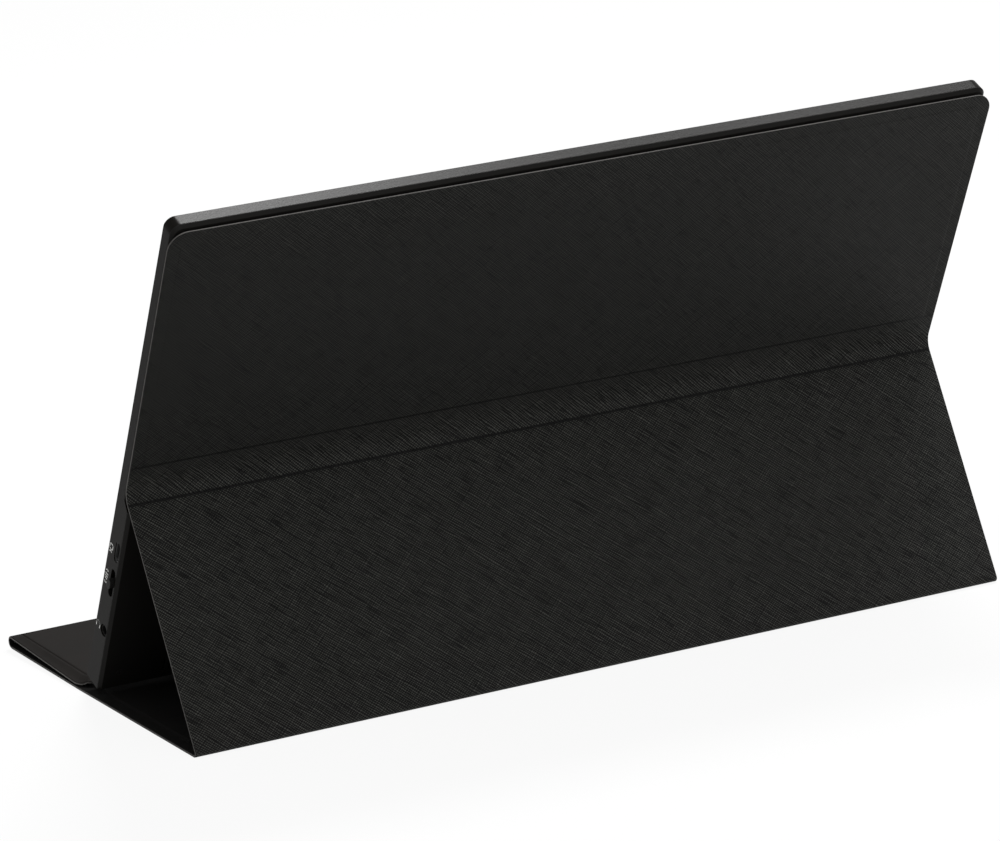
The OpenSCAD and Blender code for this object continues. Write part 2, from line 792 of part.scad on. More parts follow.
module controller_chips() {
    inner = board_x - controller_w;
    color("#17181a") in_monitor() {
        chip(inner + scaler_x, scaler_y, scaler_w, scaler_w, scaler_t);
        chip(inner + scaler_x + scaler_w + chip_gap, memory_y, memory_w, memory_h, memory_t);
        for (k = [0, 1]) chip(inner + coil_x + k * coil_pitch, coil_y, coil_w, coil_w, coil_t);
        chip(inner + coil_x + 2 * coil_pitch, coil_y + coil_w - clock_h, clock_w, clock_h, clock_t);
        chip(socket_board_w - board_x - 2 * coil_w, memory_y, coil_w, coil_w, memory_t);
    }
}

// Ribbon on both boards' rear faces, stepping up to the support plate between them
module link_ribbon() {
    right = board_x - controller_w;
    left = socket_board_w - board_x;
    low = pcb_z - ribbon_t;
    high = plate_z - ribbon_t;
    color("#c9a24a") in_monitor()
        translate([0, controller_y + (controller_h + ribbon_w) / 2, 0])
            rotate([90, 0, 0]) linear_extrude(ribbon_w)
            polygon([[left - ribbon_lap, low], [left + fit + ribbon_t, low], [left + fit + ribbon_t, high],
                     [right - fit - ribbon_t, high], [right - fit - ribbon_t, low], [right + ribbon_lap, low],
                     [right + ribbon_lap, pcb_z], [right - fit, pcb_z], [right - fit, plate_z],
                     [left + fit, plate_z], [left + fit, pcb_z], [left - ribbon_lap, pcb_z]]);
}

// Ribbon from the display's own board down to the controller board
module display_ribbon() {
    lap = 3;
    top = tray_z - panel_board_t;
    edge = controller_y;
    color("#c9a24a") in_monitor()
        translate([board_x - controller_w + 0.5, 0, 0]) rotate([90, 0, 90]) linear_extrude(5)
            polygon([[panel_board_y[0] + 1, top - ribbon_t], [edge - fit - ribbon_t, top - ribbon_t],
                     [edge - fit - ribbon_t, pcb_z - ribbon_t], [edge + lap, pcb_z - ribbon_t],
                     [edge + lap, pcb_z],
                     [edge - fit, pcb_z], [edge - fit, top], [panel_board_y[0] + 1, top]]);
}

// ---- Monitor: sockets ----
module earphone_socket() {
    color("#161616") in_monitor() translate([0, jack_y, port_z]) difference() {
        union() {
            translate([jack_back, -jack_w / 2, -jack_t / 2])
                cube([side_x - wall - fit - jack_back, jack_w, jack_t]);
            translate([side_x - nose_l + fit, 0, 0]) rotate([0, 90, 0])
                cylinder(r = nose_r, h = nose_l - fit - jack_recess);
        }
        translate([jack_floor, 0, 0]) rotate([0, 90, 0]) cylinder(r = jack_bore_r, h = jack_depth + over);
    }
}

// Socket shell with its tongue, its mouth towards +x
module type_c_shell() {
    sheet = 0.3;
    back = side_x - mouth - port_d;
    color("#8f9194") {
        difference() {
            side_bar(port_w, port_t, back, side_x - mouth);
            side_bar(port_w - 2 * sheet, port_t - 2 * sheet, back + sheet, side_x);
        }
        translate([back + sheet / 2, 1.1 - port_w / 2, -0.35]) cube([port_d - 1.4, port_w - 2.2, 0.7]);
    }
}

module type_c_right() {
    in_monitor() translate([0, port_y, port_z]) type_c_shell();
}

module type_c_left() {
    in_monitor() translate([0, left_port_y, port_z]) mirror([1, 0, 0]) type_c_shell();
}

// Outline of the video socket, wide towards the screen
module video_plan(w, t) {
    taper = 1.3;
    polygon([[-w / 2, t / 2], [w / 2, t / 2], [w / 2, taper - t / 2], [w / 2 - taper, -t / 2],
             [taper - w / 2, -t / 2], [-w / 2, taper - t / 2]]);
}

module video_socket() {
    sheet = 0.3;
    back = side_x - mouth - port_d;
    color("#8f9194") in_monitor() mirror([1, 0, 0]) translate([0, video_y, port_z]) {
        difference() {
            translate([back, 0, 0]) rotate([90, 0, 90]) linear_extrude(port_d) video_plan(video_w, port_t);
            translate([back + sheet, 0, 0]) rotate([90, 0, 90]) linear_extrude(port_d)
                video_plan(video_w - 2 * sheet, port_t - 2 * sheet);
        }
        translate([back + sheet / 2, 2 - video_w / 2, 0]) cube([port_d - 1.4, video_w - 4, 0.6]);
    }
}

// ---- Monitor: menu switch ----
module menu_switch_frame() {
    front = side_x - wall - fit;
    color("#3a3a3c") in_monitor() translate([0, jog_y, port_z]) difference() {
        translate([front - jog_frame_d, -jog_frame_l / 2, -jog_frame_t / 2])
            cube([jog_frame_d, jog_frame_l, jog_frame_t]);
        translate([front - jog_frame_d + 0.6, 0.8 - jog_frame_l / 2, 0.3 - jog_frame_t / 2])
            cube([jog_frame_d, jog_frame_l - 1.6, jog_frame_t - 0.6]);
    }
}

module menu_switch_slider() {
    cheek_t = 0.45;
    depth = 3.2;
    width = 4;
    height = lever_t + fit + 2 * cheek_t;
    color("#dcdcd8") in_monitor() translate([lever_x, jog_y, port_z]) {
        difference() {
            translate([-depth + pin_r + 0.6, -width / 2, -height / 2]) cube([depth, width, height]);
            translate([-hub_r - fit, -width / 2 - over, -(lever_t + fit) / 2])
                cube([depth + over, width + 2 * over, lever_t + fit]);
        }
        translate([0, 0, -(height - cheek_t) / 2]) cylinder(r = pin_r, h = height - cheek_t);
    }
}

module menu_lever() {
    stem_w = 1.5;
    knob_x = side_x - wall + press;
    color("#2b2b2c") in_monitor() translate([0, jog_y, port_z]) difference() {
        union() {
            translate([lever_x, 0, -lever_t / 2]) cylinder(r = hub_r, h = lever_t);
            translate([lever_x, -stem_w / 2, -lever_t / 2]) cube([knob_x - lever_x + 0.5, stem_w, lever_t]);
            side_bar(knob_l, jog_slot_w - fit, knob_x, side_x + knob_out);
        }
        translate([lever_x, 0, -lever_t]) cylinder(r = pin_r + 0.05, h = 2 * lever_t);
    }
}

// ---- Monitor: power button ----
module power_button() {
    flange_x = side_x - wall - fit / 2 - flange_t;
    color("#2b2b2c") in_monitor() mirror([1, 0, 0]) translate([0, power_y, port_z]) {
        side_bar(power_l, button_t, flange_x, side_x + button_out);
        side_bar(power_l + 2, button_t + 2 * fit, flange_x, flange_x + flange_t);
        translate([flange_x - stem_l, -1, -0.6]) cube([stem_l + flange_t, 2, 1.2]);
    }
}

module power_switch() {
    color("#c4c6c8") in_monitor() mirror([1, 0, 0])
        translate([side_x - switch_x - switch_d, power_y - power_l / 2 - 1, port_z - 1.2])
            cube([switch_d, power_l + 2, 2.4]);
}

// ---- Monitor: speakers ----
module speaker(side) {
    color("#202022") in_monitor() difference() {
        translate([side * speaker_mid_x, 0, rear_skin]) linear_extrude(speaker_t)
            plan(speaker_l, [speaker_y, speaker_y + speaker_h], 2, 2);
        translate([side * speaker_mid_x, speaker_mid_y, rear_skin - over])
            linear_extrude(over + 0.8) rotate(90) slot_plan(speaker_l - 8, speaker_h - 3);
    }
}

module speaker_left() {
    speaker(-1);
}

module speaker_right() {
    speaker(1);
}

base_skin();
base_lining();
base_board();
spine_board();
flap_skin();
flap_lining();
flap_board();
flap_magnets();
leg_skin();
leg_lining();
leg_board();
back_skin();
back_lining();
back_board();
back_magnets();
front_fold();
rear_fold();
crease_fold();
front_housing();
rear_cover();
rear_screws();
display_glass();
diffuser_films();
light_guide();
reflector_sheet();
backlight_tray();
panel_frame();
led_bar();
panel_board();
support_plate();
catch_strips();
controller_board();
controller_chips();
socket_board();
board_screws();
link_ribbon();
display_ribbon();
earphone_socket();
type_c_right();
type_c_left();
video_socket();
menu_switch_frame();
menu_switch_slider();
menu_lever();
power_button();
power_switch();
speaker_left();
speaker_right();
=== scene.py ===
"""Looks of a portable monitor that stands in its folding magnetic cover."""

import math

import bmesh
import bpy
from mathutils import Matrix, Vector


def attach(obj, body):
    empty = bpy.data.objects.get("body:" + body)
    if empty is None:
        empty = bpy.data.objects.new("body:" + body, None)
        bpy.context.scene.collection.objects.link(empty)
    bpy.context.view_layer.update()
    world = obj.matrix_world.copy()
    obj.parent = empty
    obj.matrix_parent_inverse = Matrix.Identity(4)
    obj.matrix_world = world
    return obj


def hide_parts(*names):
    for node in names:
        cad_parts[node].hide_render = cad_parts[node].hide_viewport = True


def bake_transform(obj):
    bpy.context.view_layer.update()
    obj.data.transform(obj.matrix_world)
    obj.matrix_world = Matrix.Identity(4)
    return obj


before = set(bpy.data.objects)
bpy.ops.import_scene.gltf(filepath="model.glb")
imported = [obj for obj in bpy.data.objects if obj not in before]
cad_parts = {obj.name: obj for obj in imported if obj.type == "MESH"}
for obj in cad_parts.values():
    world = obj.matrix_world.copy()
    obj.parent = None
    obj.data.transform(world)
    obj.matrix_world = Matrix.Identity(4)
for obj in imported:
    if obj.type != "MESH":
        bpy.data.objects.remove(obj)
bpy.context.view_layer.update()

MM = 0.001
# A length too small to matter, for comparing places
HAIR = 1e-6

# ---- Driving dimensions, in millimetres and degrees, as in the part's source ----
MONITOR_W, MONITOR_H, MONITOR_T = 356.0, 217.0, 10.6
STEP_T, STEP_Y = 3.6, 87.0
MONITOR_R, SIDE_BORDER = 5.5, 5.9
COVER_MARGIN, RIM = 1.8, 5.3
SKIN_T, BOARD_T, LINING_T = 0.7, 1.0, 0.4
BASE_LEN, LEG_LEN, CREASE_RISE, TOP_INSET = 161.5, 102.0, 8.0, 1.5
LEAN, SPINE_W, SPINE_GAP, SOFT_W = 23.9, 14.0, 4.0, 13.0
FRONT_SPRING, SPRING_LEN = 0.7, 62.0
REAR_R, FRONT_R, CREASE_R = 1.8, 2.6, 8.4
SEAT_GAP, FLAP_CLEAR, FIT = 0.3, 0.4, 0.2
# Heights of the openings in the monitor's sides, and the sockets' distance from its rear face
JACK_Y, JOG_Y, PORT_Y = 27.9, 51.1, 65.9
LEFT_PORT_Y, VIDEO_Y, POWER_Y = 62.0, 44.0, 26.0
PORT_Z = 3.75

# ---- Corner radii that are drawn tighter here than in the source ----
FOOT_R, TOP_R, COVER_R = 0.8, 4.0, 7.5

# ---- Places worked out from them ----
ACTIVE_HALF = MONITOR_W / 2 - SIDE_BORDER
COVER_W = MONITOR_W + 2 * COVER_MARGIN
COVER_T = SKIN_T + BOARD_T + LINING_T
STRIP_T = SKIN_T + LINING_T
REAR_Y = BASE_LEN / 2
HANG = STEP_Y + CREASE_RISE
BACK_LEN = MONITOR_H - TOP_INSET - HANG
SEAT = COVER_T + SEAT_GAP
BACK_OFF = SEAT - STEP_T


def sin(a):
    return math.sin(math.radians(a))


def cos(a):
    return math.cos(math.radians(a))


CREASE_Z = SEAT + HANG * cos(LEAN) - BACK_OFF * sin(LEAN)
LEG_ANGLE = math.degrees(math.asin(CREASE_Z / LEG_LEN))
CREASE_Y = REAR_Y - LEG_LEN * cos(LEG_ANGLE)
REAR_BEND = 180 - LEG_ANGLE
BACK_TURN = 90 - LEAN
REAR_RUN = REAR_R * math.tan(math.radians(REAR_BEND / 2))
CREASE_RUN = CREASE_R * math.tan(math.radians((REAR_BEND - BACK_TURN) / 2))
FOLD_INSET = LINING_T + FIT
REAR_BOARD_END = max(REAR_RUN, COVER_T / math.tan(math.radians(LEG_ANGLE / 2))) + FOLD_INSET
SPRING_Y = SPRING_LEN - BASE_LEN / 2
FRONT_START = FRONT_R - SPRING_LEN
TOE_Y = CREASE_Y - HANG * sin(LEAN) - (BACK_OFF + MONITOR_T) * cos(LEAN)
ROOT_Y = SPRING_Y + FRONT_START * cos(FRONT_SPRING) + 2 * FRONT_R * sin(FRONT_SPRING)
ROOT_Z = 2 * FRONT_R * cos(FRONT_SPRING) - FRONT_START * sin(FRONT_SPRING)
END_Y = TOE_Y - FLAP_CLEAR
END_Z = 2 * COVER_T + SEAT_GAP + max(0, SPRING_Y - END_Y) * sin(FRONT_SPRING)
FLAP_TILT = math.degrees(math.atan2(ROOT_Z - END_Z, END_Y - ROOT_Y))
FLAP_LEN = math.hypot(END_Y - ROOT_Y, ROOT_Z - END_Z)
BOARD_R = max(COVER_R - RIM, 1)


def placed(y, z, turn):
    """Frame of a panel: its own y runs along the cover, its own z points into the cover's inside."""
    return Matrix.Translation((0, y * MM, z * MM)) @ Matrix.Rotation(math.radians(turn), 4, "X")


BACK = placed(CREASE_Y, CREASE_Z, BACK_TURN)
MONITOR = BACK @ Matrix.Translation((0, -HANG * MM, BACK_OFF * MM))


# ---- Cover: one long sheet, cut into panels and folds ----
# Each fold takes this much of the flat panel on either side of it
FOLD_FLAT = 0.15
# Steps round the front and rear folds, and round the crease, which turns less
ROLL_STEPS, CREASE_STEPS = 24, 16


def straight(y, z, turn, length, steps):
    """Stations of a flat stretch that starts at y, z: (run, y, z, turn)."""
    kept = [t for t in steps if -HAIR <= t <= length + HAIR]
    return [(t, y + t * cos(turn), z + t * sin(turn), turn) for t in kept]


def bend(y, z, radius, turn0, turn1, count):
    """Stations round a centre; the cover's inside is towards the centre if it turns to the left."""
    side = 1 if turn1 > turn0 else -1
    rows = []
    for k in range(count + 1):
        turn = turn0 + (turn1 - turn0) * k / count
        run = math.radians(abs(turn - turn0)) * radius
        rows.append((run, y + side * radius * sin(turn), z - side * radius * cos(turn), turn))
    return rows


def with_flats(rows, flat):
    """Bend rows with a short flat run at each end, so that the shading meets the panels evenly."""
    (r0, y0, z0, t0), (r1, y1, z1, t1) = rows[0], rows[-1]
    before = (r0 - flat, y0 - flat * cos(t0), z0 - flat * sin(t0), t0)
    after = (r1 + flat, y1 + flat * cos(t1), z1 + flat * sin(t1), t1)
    return [before, *rows, after]


spring_turn = -FRONT_SPRING
flap_turn = 180 - FLAP_TILT
front_centre = (
    SPRING_Y + FRONT_START * cos(spring_turn) - FRONT_R * sin(spring_turn),
    FRONT_START * sin(spring_turn) + FRONT_R * cos(spring_turn),
)
front_rows = bend(*front_centre, FRONT_R, flap_turn, 360 + spring_turn, ROLL_STEPS)
rear_rows = bend(REAR_Y - REAR_RUN, REAR_R, REAR_R, 0, REAR_BEND, ROLL_STEPS)
crease_start = (
    REAR_Y + (LEG_LEN - CREASE_RUN) * cos(REAR_BEND),
    (LEG_LEN - CREASE_RUN) * sin(REAR_BEND),
)
crease_rows = bend(
    crease_start[0] + CREASE_R * sin(REAR_BEND),
    crease_start[1] - CREASE_R * cos(REAR_BEND),
    CREASE_R, REAR_BEND, BACK_TURN, CREASE_STEPS,
)

# Where each stretch starts along the cover, counted from the flap's free end
flap_len = FLAP_LEN - FOLD_FLAT
front_at = flap_len
base_at = front_at + 2 * FOLD_FLAT + front_rows[-1][0]
base_flat = REAR_Y - REAR_RUN - FOLD_FLAT - SPRING_Y
raised_len = -FRONT_START - FOLD_FLAT
rear_at = base_at + raised_len + base_flat
leg_at = rear_at + 2 * FOLD_FLAT + rear_rows[-1][0]
leg_len = LEG_LEN - CREASE_RUN - REAR_RUN - 2 * FOLD_FLAT
crease_at = leg_at + leg_len
back_at = crease_at + 2 * FOLD_FLAT + crease_rows[-1][0]
back_len = BACK_LEN - CREASE_RUN - FOLD_FLAT
# Lines across the leather: the middle of the bend, the sharp crease just past the end of the leg's board,
# and the lower edge of the back panel's board. Painted shade lines lie along the last two
LEG_LINE_OFF = 0.8
BEND_AT = crease_at + FOLD_FLAT + crease_rows[-1][0] / 2
LEG_LINE_AT = crease_at + FOLD_FLAT + LEG_LINE_OFF
SOFT_LINE_AT = back_at + SOFT_W - CREASE_RUN - FOLD_FLAT


# ---- Shader helper ----
class Value:
    """A node's output. An expression on it adds Math nodes."""

    def __init__(self, shader, output):
        self.shader, self.output = shader, output

    def math(self, operation, *others):
        return self.shader.node("ShaderNodeMath", {"operation": operation}, dict(enumerate((self, *others))))

    def __add__(self, other):
        return self.math("ADD", other)

    def __sub__(self, other):
        return self.math("SUBTRACT", other)

    def __rsub__(self, other):
        return (self * -1) + other

    def __mul__(self, other):
        return self.math("MULTIPLY", other)

    def __truediv__(self, other):
        return self.math("DIVIDE", other)

    def __pow__(self, other):
        return self.math("POWER", other)

    __radd__ = __add__
    __rmul__ = __mul__

    def wave(self):
        """Sine of the value, brought to 0..1."""
        return self.math("SINE") * 0.5 + 0.5

    def between(self, low, high, to_low=0.0, to_high=1.0):
        """Smooth step from to_low at low to to_high at high."""
        settings = {"interpolation_type": "SMOOTHSTEP"}
        limits = {"From Min": low, "From Max": high, "To Min": to_low, "To Max": to_high}
        return self.shader.node("ShaderNodeMapRange", settings, {"Value": self, **limits})


class Shader:
    """Nodes under construction, of a material or of the world."""

    def __init__(self, owner, output="ShaderNodeOutputMaterial"):
        owner.use_nodes = True
        self.owner, self.tree = owner, owner.node_tree
        self.tree.nodes.clear()
        self.out = self.tree.nodes.new(output)

    def node(self, kind, settings=None, inputs=None, out=0):
        """Adds a node. A socket of inputs and the one handed back are given by name or by number."""
        made = self.tree.nodes.new(kind)
        for key, value in (settings or {}).items():
            setattr(made, key, value)
        for key, value in (inputs or {}).items():
            named = [socket for socket in made.inputs if socket.name == key and socket.enabled]
            socket = made.inputs[key] if isinstance(key, int) else named[0]
            if isinstance(value, Value):
                self.tree.links.new(value.output, socket)
            else:
                socket.default_value = value
        outputs = [socket for socket in made.outputs if socket.enabled]
        return Value(self, made.outputs[out] if isinstance(out, str) else outputs[out])

    def surface(self, **inputs):
        """Closes the material with a Principled surface; its sockets are named with _ for a space."""
        named = {key.replace("_", " "): value for key, value in inputs.items()}
        return self.finish(self.node("ShaderNodeBsdfPrincipled", None, named))

    def finish(self, shader):
        self.tree.links.new(shader.output, self.out.inputs["Surface"])
        return self.owner

    def seen(self):
        """1 for what the camera sees, straight, in a mirror or through glass."""
        rays = self.node("ShaderNodeLightPath").output.node.outputs
        names = ("Is Camera Ray", "Is Glossy Ray", "Is Transmission Ray")
        camera, mirror, glass = (Value(self, rays[name]) for name in names)
        return camera.math("MAXIMUM", mirror).math("MAXIMUM", glass)

    def place(self):
        """Object coordinates."""
        return self.node("ShaderNodeTexCoord", out="Object")

    def noise(self, vector, scale, detail=2.0, rough=0.5):
        inputs = {"Vector": vector, "Scale": scale, "Detail": detail, "Roughness": rough}
        return self.node("ShaderNodeTexNoise", {"noise_dimensions": "3D"}, inputs)

    def split(self, vector):
        made = self.node("ShaderNodeSeparateXYZ", None, {0: vector})
        node = made.output.node
        return [Value(self, node.outputs[k]) for k in range(3)]

    def joined(self, x, y, z=0.0):
        return self.node("ShaderNodeCombineXYZ", None, {0: x, 1: y, 2: z})

    def mixed(self, factor, a, b):
        """Colour a turning into b."""
        settings = {"data_type": "RGBA"}
        return self.node("ShaderNodeMix", settings, {"Factor": factor, "A": a, "B": b})

    def bump(self, height, distance, strength=1.0):
        inputs = {"Height": height, "Distance": distance, "Strength": strength}
        return self.node("ShaderNodeBump", None, inputs)


def new_material(name):
    return Shader(bpy.data.materials.new(name))


def grey(level, warm=0.0):
    """Plain grey, or one whose red is raised and blue lowered by the share warm."""
    return (level * (1 + warm), level, level * (1 - warm), 1)


# ---- Materials: leatherette of the cover ----
LEATHER_LOW, LEATHER_HIGH = (0.0002, 0.0002, 0.0001, 1), (0.0475, 0.0480, 0.0430, 1)
# Warmer mottled tones of the smoother leatherette on the flap and the front fold
SMOOTH_LOW, SMOOTH_HIGH = (0.0085, 0.0075, 0.0067, 1), (0.0115, 0.0100, 0.0090, 1)
# Two families of pressed lines: their angle, and the pitch of each in millimetres
GRAIN_ANGLE, DOWN_PITCH, UP_PITCH = 41.0, 0.90, 0.87
# Length and width of the patches in which the lines swell, and how far those shift them, in radians
SWELL_L, SWELL_W, SWELL_SHIFT = 14.0, 2.2, 11
# Length and width of the cuts among the lines, and their depth as a share of the lines'
CUT_L, CUT_W, CUT_DEPTH = 12.0, 0.42, 0.35
# How strongly the grain is drawn and the first family's share of it: below the crease, and on the back panel
# Below the crease the grain's colour contrast is raised as painted shading of light raking from above; in the
# bump it is relief
LEG_DRAWN, BACK_DRAWN = 2.3, 0.95
LEG_SHARE, BACK_SHARE = 0.60, 0.46
# Tone that drawing the grain leaves alone, and the brightness of the whole
GRAIN_MID, LEATHER_TONE = 0.26, 0.60
# Offsets that keep the noises apart
DOWN_SEED, CUT_SEED, UP_SEED = 0.0, 3.0, 7.0


def pressed_lines(shader, along, across, pitch, seed):
    """Fine parallel lines of a pitch in millimetres, 0..1. They wander, swell and fade."""
    patches = shader.joined(along / (SWELL_L * MM), across / (SWELL_W * MM), seed)
    drift = shader.noise(patches, 1.0, 2.0)
    return (across * (2 * math.pi / (pitch * MM)) + drift * SWELL_SHIFT).wave()


def cross_grain(shader, u, v):
    """The two families of pressed lines of the leatherette, each 0..1, and the deep cuts among them."""
    c, k = cos(GRAIN_ANGLE), sin(GRAIN_ANGLE)
    down, down_across = u * c + v * k, v * c - u * k
    up, up_across = u * c - v * k, u * k + v * c
    first = pressed_lines(shader, down, down_across, DOWN_PITCH, DOWN_SEED)
    second = pressed_lines(shader, up, up_across, UP_PITCH, UP_SEED)
    slits = shader.joined(down / (CUT_L * MM), down_across / (CUT_W * MM), CUT_SEED)
    return first, second, shader.noise(slits, 1.0, 1.0).between(0.58, 0.70)


def line_at(offset, core, edge, tone=0.0):
    """Line across the cover: tone within core millimetres of it, changing to 1 at edge millimetres."""
    return offset.math("ABSOLUTE").between(core * MM, edge * MM, tone, 1.0)


def leather():
    """Cross-grained leatherette, with painted shade and light near the crease. Its UV map runs along the
    cover in metres, over every fold.
    """
    shader = new_material("leather")
    uv = shader.node("ShaderNodeUVMap", {"uv_map": "cover"})
    u, v, _ = shader.split(uv)
    first, second, cuts = cross_grain(shader, u, v)
    # drawn raises the grain's colour contrast below the crease as painted shading; in the bump it deepens the
    # relief
    drawn = v.between(BEND_AT * MM, SOFT_LINE_AT * MM, LEG_DRAWN, BACK_DRAWN)
    share = v.between(BEND_AT * MM, SOFT_LINE_AT * MM, LEG_SHARE, BACK_SHARE)
    relief = first * share + second * (1 - share) - cuts * CUT_DEPTH
    worn = shader.noise(uv, 12.0, 3.0).between(0.3, 0.7)
    wander = shader.noise(shader.joined(u, 0.0), 160.0) * (0.5 * MM)
    # Painted shade: the leather's colour darkens to a thin line where it folds sharply at the crease
    crease_shade = line_at(v + wander - LEG_LINE_AT * MM, 0.34, 0.75)
    # Painted shade: a faint dark line along the lower edge of the back panel's board, where the leather steps
    board_edge_shade = line_at(v + wander * 0.6 - SOFT_LINE_AT * MM, 0.20, 0.60, 0.15)
    # Painted light: the colour is lifted in a broad band over the bend, which the lamps leave darker
    painted_light_band = line_at(v - (BEND_AT + SOFT_LINE_AT) / 2 * MM, 2, 8, 1.12)
    grain = (relief.between(0.08, 1.0) ** 2 - GRAIN_MID) * drawn + GRAIN_MID
    tone = grain * crease_shade * board_edge_shade * painted_light_band * LEATHER_TONE
    colour = shader.mixed(tone, LEATHER_LOW, LEATHER_HIGH)
    return shader.surface(
        Base_Color=colour,
        Roughness=worn * 0.08 + 0.46,
        Specular_IOR_Level=0.10,
        Normal=shader.bump(relief * drawn, 0.14 * MM, 0.9),
    )


def smooth_leather():
    """The same leatherette where the cover is pressed flat, with a fainter grain and a warmer mottled tone.
    """
    shader = new_material("smooth_leather")
    uv = shader.node("ShaderNodeUVMap", {"uv_map": "cover"})
    u, v, _ = shader.split(uv)
    first, _, cuts = cross_grain(shader, u, v)
    mottle = shader.noise(uv, 70.0, 4.0, 0.65)
    colour = shader.mixed(mottle.between(0.35, 0.65), SMOOTH_LOW, SMOOTH_HIGH)
    return shader.surface(
        Base_Color=colour,
        Roughness=mottle * 0.15 + 0.55,
        Specular_IOR_Level=0.03,
        Normal=shader.bump(first * 0.15 + mottle * 0.6 - cuts * 0.1, 0.08 * MM, 0.6),
    )


# ---- Materials: linings, housings and inner parts ----
def cut_edge():
    """Raw edge of the leatherette and its lining: pale fibres under a dark film."""
    shader = new_material("cut_edge")
    fibres = shader.noise(shader.place(), 2500.0, 3.0, 0.7)
    colour = shader.mixed(fibres.between(0.35, 0.65), grey(0.05, 0.04), grey(0.10, 0.05))
    return shader.surface(
        Base_Color=colour,
        Roughness=0.8,
        Specular_IOR_Level=0.2,
        Normal=shader.bump(fibres, 0.05 * MM),
    )


def microfibre():
    """Short dense nap of the cover's inside."""
    shader = new_material("microfibre")
    place = shader.place()
    nap = shader.noise(place, 2200.0, 3.0, 0.7)
    brushed = shader.noise(place, 35.0, 3.0)
    colour = shader.mixed(brushed.between(0.3, 0.7), grey(0.0035, 0.05), grey(0.0055, 0.05))
    return shader.surface(
        Base_Color=colour,
        Roughness=0.95,
        Specular_IOR_Level=0.05,
        Normal=shader.bump(nap, 0.12 * MM),
    )


def painted(name, colour, rough, grain, specular=0.5):
    """Sprayed or moulded surface with a fine even texture, grain millimetres deep."""
    shader = new_material(name)
    place = shader.place()
    speckle = shader.noise(place, 2600.0, 2.0)
    cloud = shader.noise(place, 40.0, 2.0)
    light = [min(1, c * 1.12) for c in colour]
    return shader.surface(
        Base_Color=shader.mixed(cloud.between(0.3, 0.7), (*colour, 1), (*light, 1)),
        Roughness=speckle * 0.08 + (rough - 0.04),
        Specular_IOR_Level=specular,
        Normal=shader.bump(speckle, grain * MM),
    )


# Fineness of the brushing along its lines and across them
BRUSH_ALONG, BRUSH_ACROSS = 200, 4000


def metal(name, level, rough):
    """Bare or plated metal, brushed along x."""
    shader = new_material(name)
    x, y, z = shader.split(shader.place())
    lines = shader.joined(x * BRUSH_ALONG, y * BRUSH_ACROSS, z * BRUSH_ACROSS)
    brushed = shader.noise(lines, 1.0, 3.0)
    return shader.surface(
        Base_Color=shader.mixed(brushed, grey(level * 0.9), grey(level)),
        Metallic=1.0,
        Roughness=brushed * 0.15 + rough,
    )


def screen_glass():
    """Matte glass over the black of a screen that is off."""
    shader = new_material("screen_glass")
    place = shader.place()
    x, _, _ = shader.split(place)
    frost = shader.noise(place, 3500.0, 2.0)
    picture = x.math("ABSOLUTE").between((ACTIVE_HALF - 0.5) * MM, (ACTIVE_HALF - 0.3) * MM, 1.0, 0.0)
    return shader.surface(
        Base_Color=shader.mixed(picture, (0.004, 0.004, 0.0045, 1), (0.011, 0.0115, 0.014, 1)),
        Roughness=frost * 0.05 + 0.22,
        Specular_IOR_Level=0.5,
        Coat_Weight=0.25,
        Coat_Roughness=0.18,
        Normal=shader.bump(frost, 0.006 * MM),
    )


LEATHER, SMOOTH_LEATHER = leather(), smooth_leather()
CUT_EDGE, MICROFIBRE = cut_edge(), microfibre()
HOUSING = painted("housing_paint", (0.0052, 0.0045, 0.0037), 0.25, 0.010, 0.030)
REAR_PAINT = painted("rear_paint", (0.0070, 0.0066, 0.0060), 0.5, 0.03, 0.06)
BLACK_PLASTIC = painted("black_plastic", (0.008, 0.0076, 0.0072), 0.5, 0.03, 0.08)
WHITE_PLASTIC = painted("white_plastic", (0.72, 0.72, 0.69), 0.4, 0.02)
WHITE_INK = painted("white_ink", (0.6, 0.6, 0.58), 0.5, 0.01)
BOARD = painted("stiff_board", (0.17, 0.14, 0.11), 0.85, 0.08)
CIRCUIT = painted("solder_mask", (0.012, 0.08, 0.03), 0.3, 0.01)
RIBBON = painted("ribbon_film", (0.5, 0.3, 0.08), 0.35, 0.01)
FILM = painted("white_film", (0.85, 0.86, 0.88), 0.5, 0.01)
STEEL = metal("stamped_steel", 0.22, 0.34)
PLATED = metal("plated_metal", 0.7, 0.18)
SHEET_METAL = metal("bare_sheet", 0.62, 0.3)
SCREEN = screen_glass()

NODE_FINISH = {
    BOARD: ["base_board", "spine_board", "flap_board", "leg_board", "back_board"],
    PLATED: ["flap_magnets", "back_magnets", "board_screws"],
    SCREEN: ["display_glass"],
    FILM: ["diffuser_films", "light_guide", "reflector_sheet", "panel_frame", "led_bar"],
    SHEET_METAL: ["backlight_tray", "support_plate"],
    STEEL: ["catch_strips", "type_c_right", "type_c_left", "video_socket"],
    CIRCUIT: ["panel_board", "controller_board", "socket_board"],
    RIBBON: ["link_ribbon", "display_ribbon"],
    WHITE_PLASTIC: ["menu_switch_slider", "power_switch"],
    BLACK_PLASTIC: [
        "rear_screws", "controller_chips", "earphone_socket", "menu_switch_frame",
        "speaker_left", "speaker_right",
    ],
}
for finish, names in NODE_FINISH.items():
    for name in names:
        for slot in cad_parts[name].material_slots:
            slot.material = finish


# ---- Meshes ----
def linked(name, data):
    """An object of the scene that shows the data, at the origin."""
    piece = bpy.data.objects.new(name, data)
    bpy.context.scene.collection.objects.link(piece)
    return piece


def dress(piece, body, node):
    """The piece rides the body and takes the place of the CAD node."""
    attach(piece, body)
    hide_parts(node)


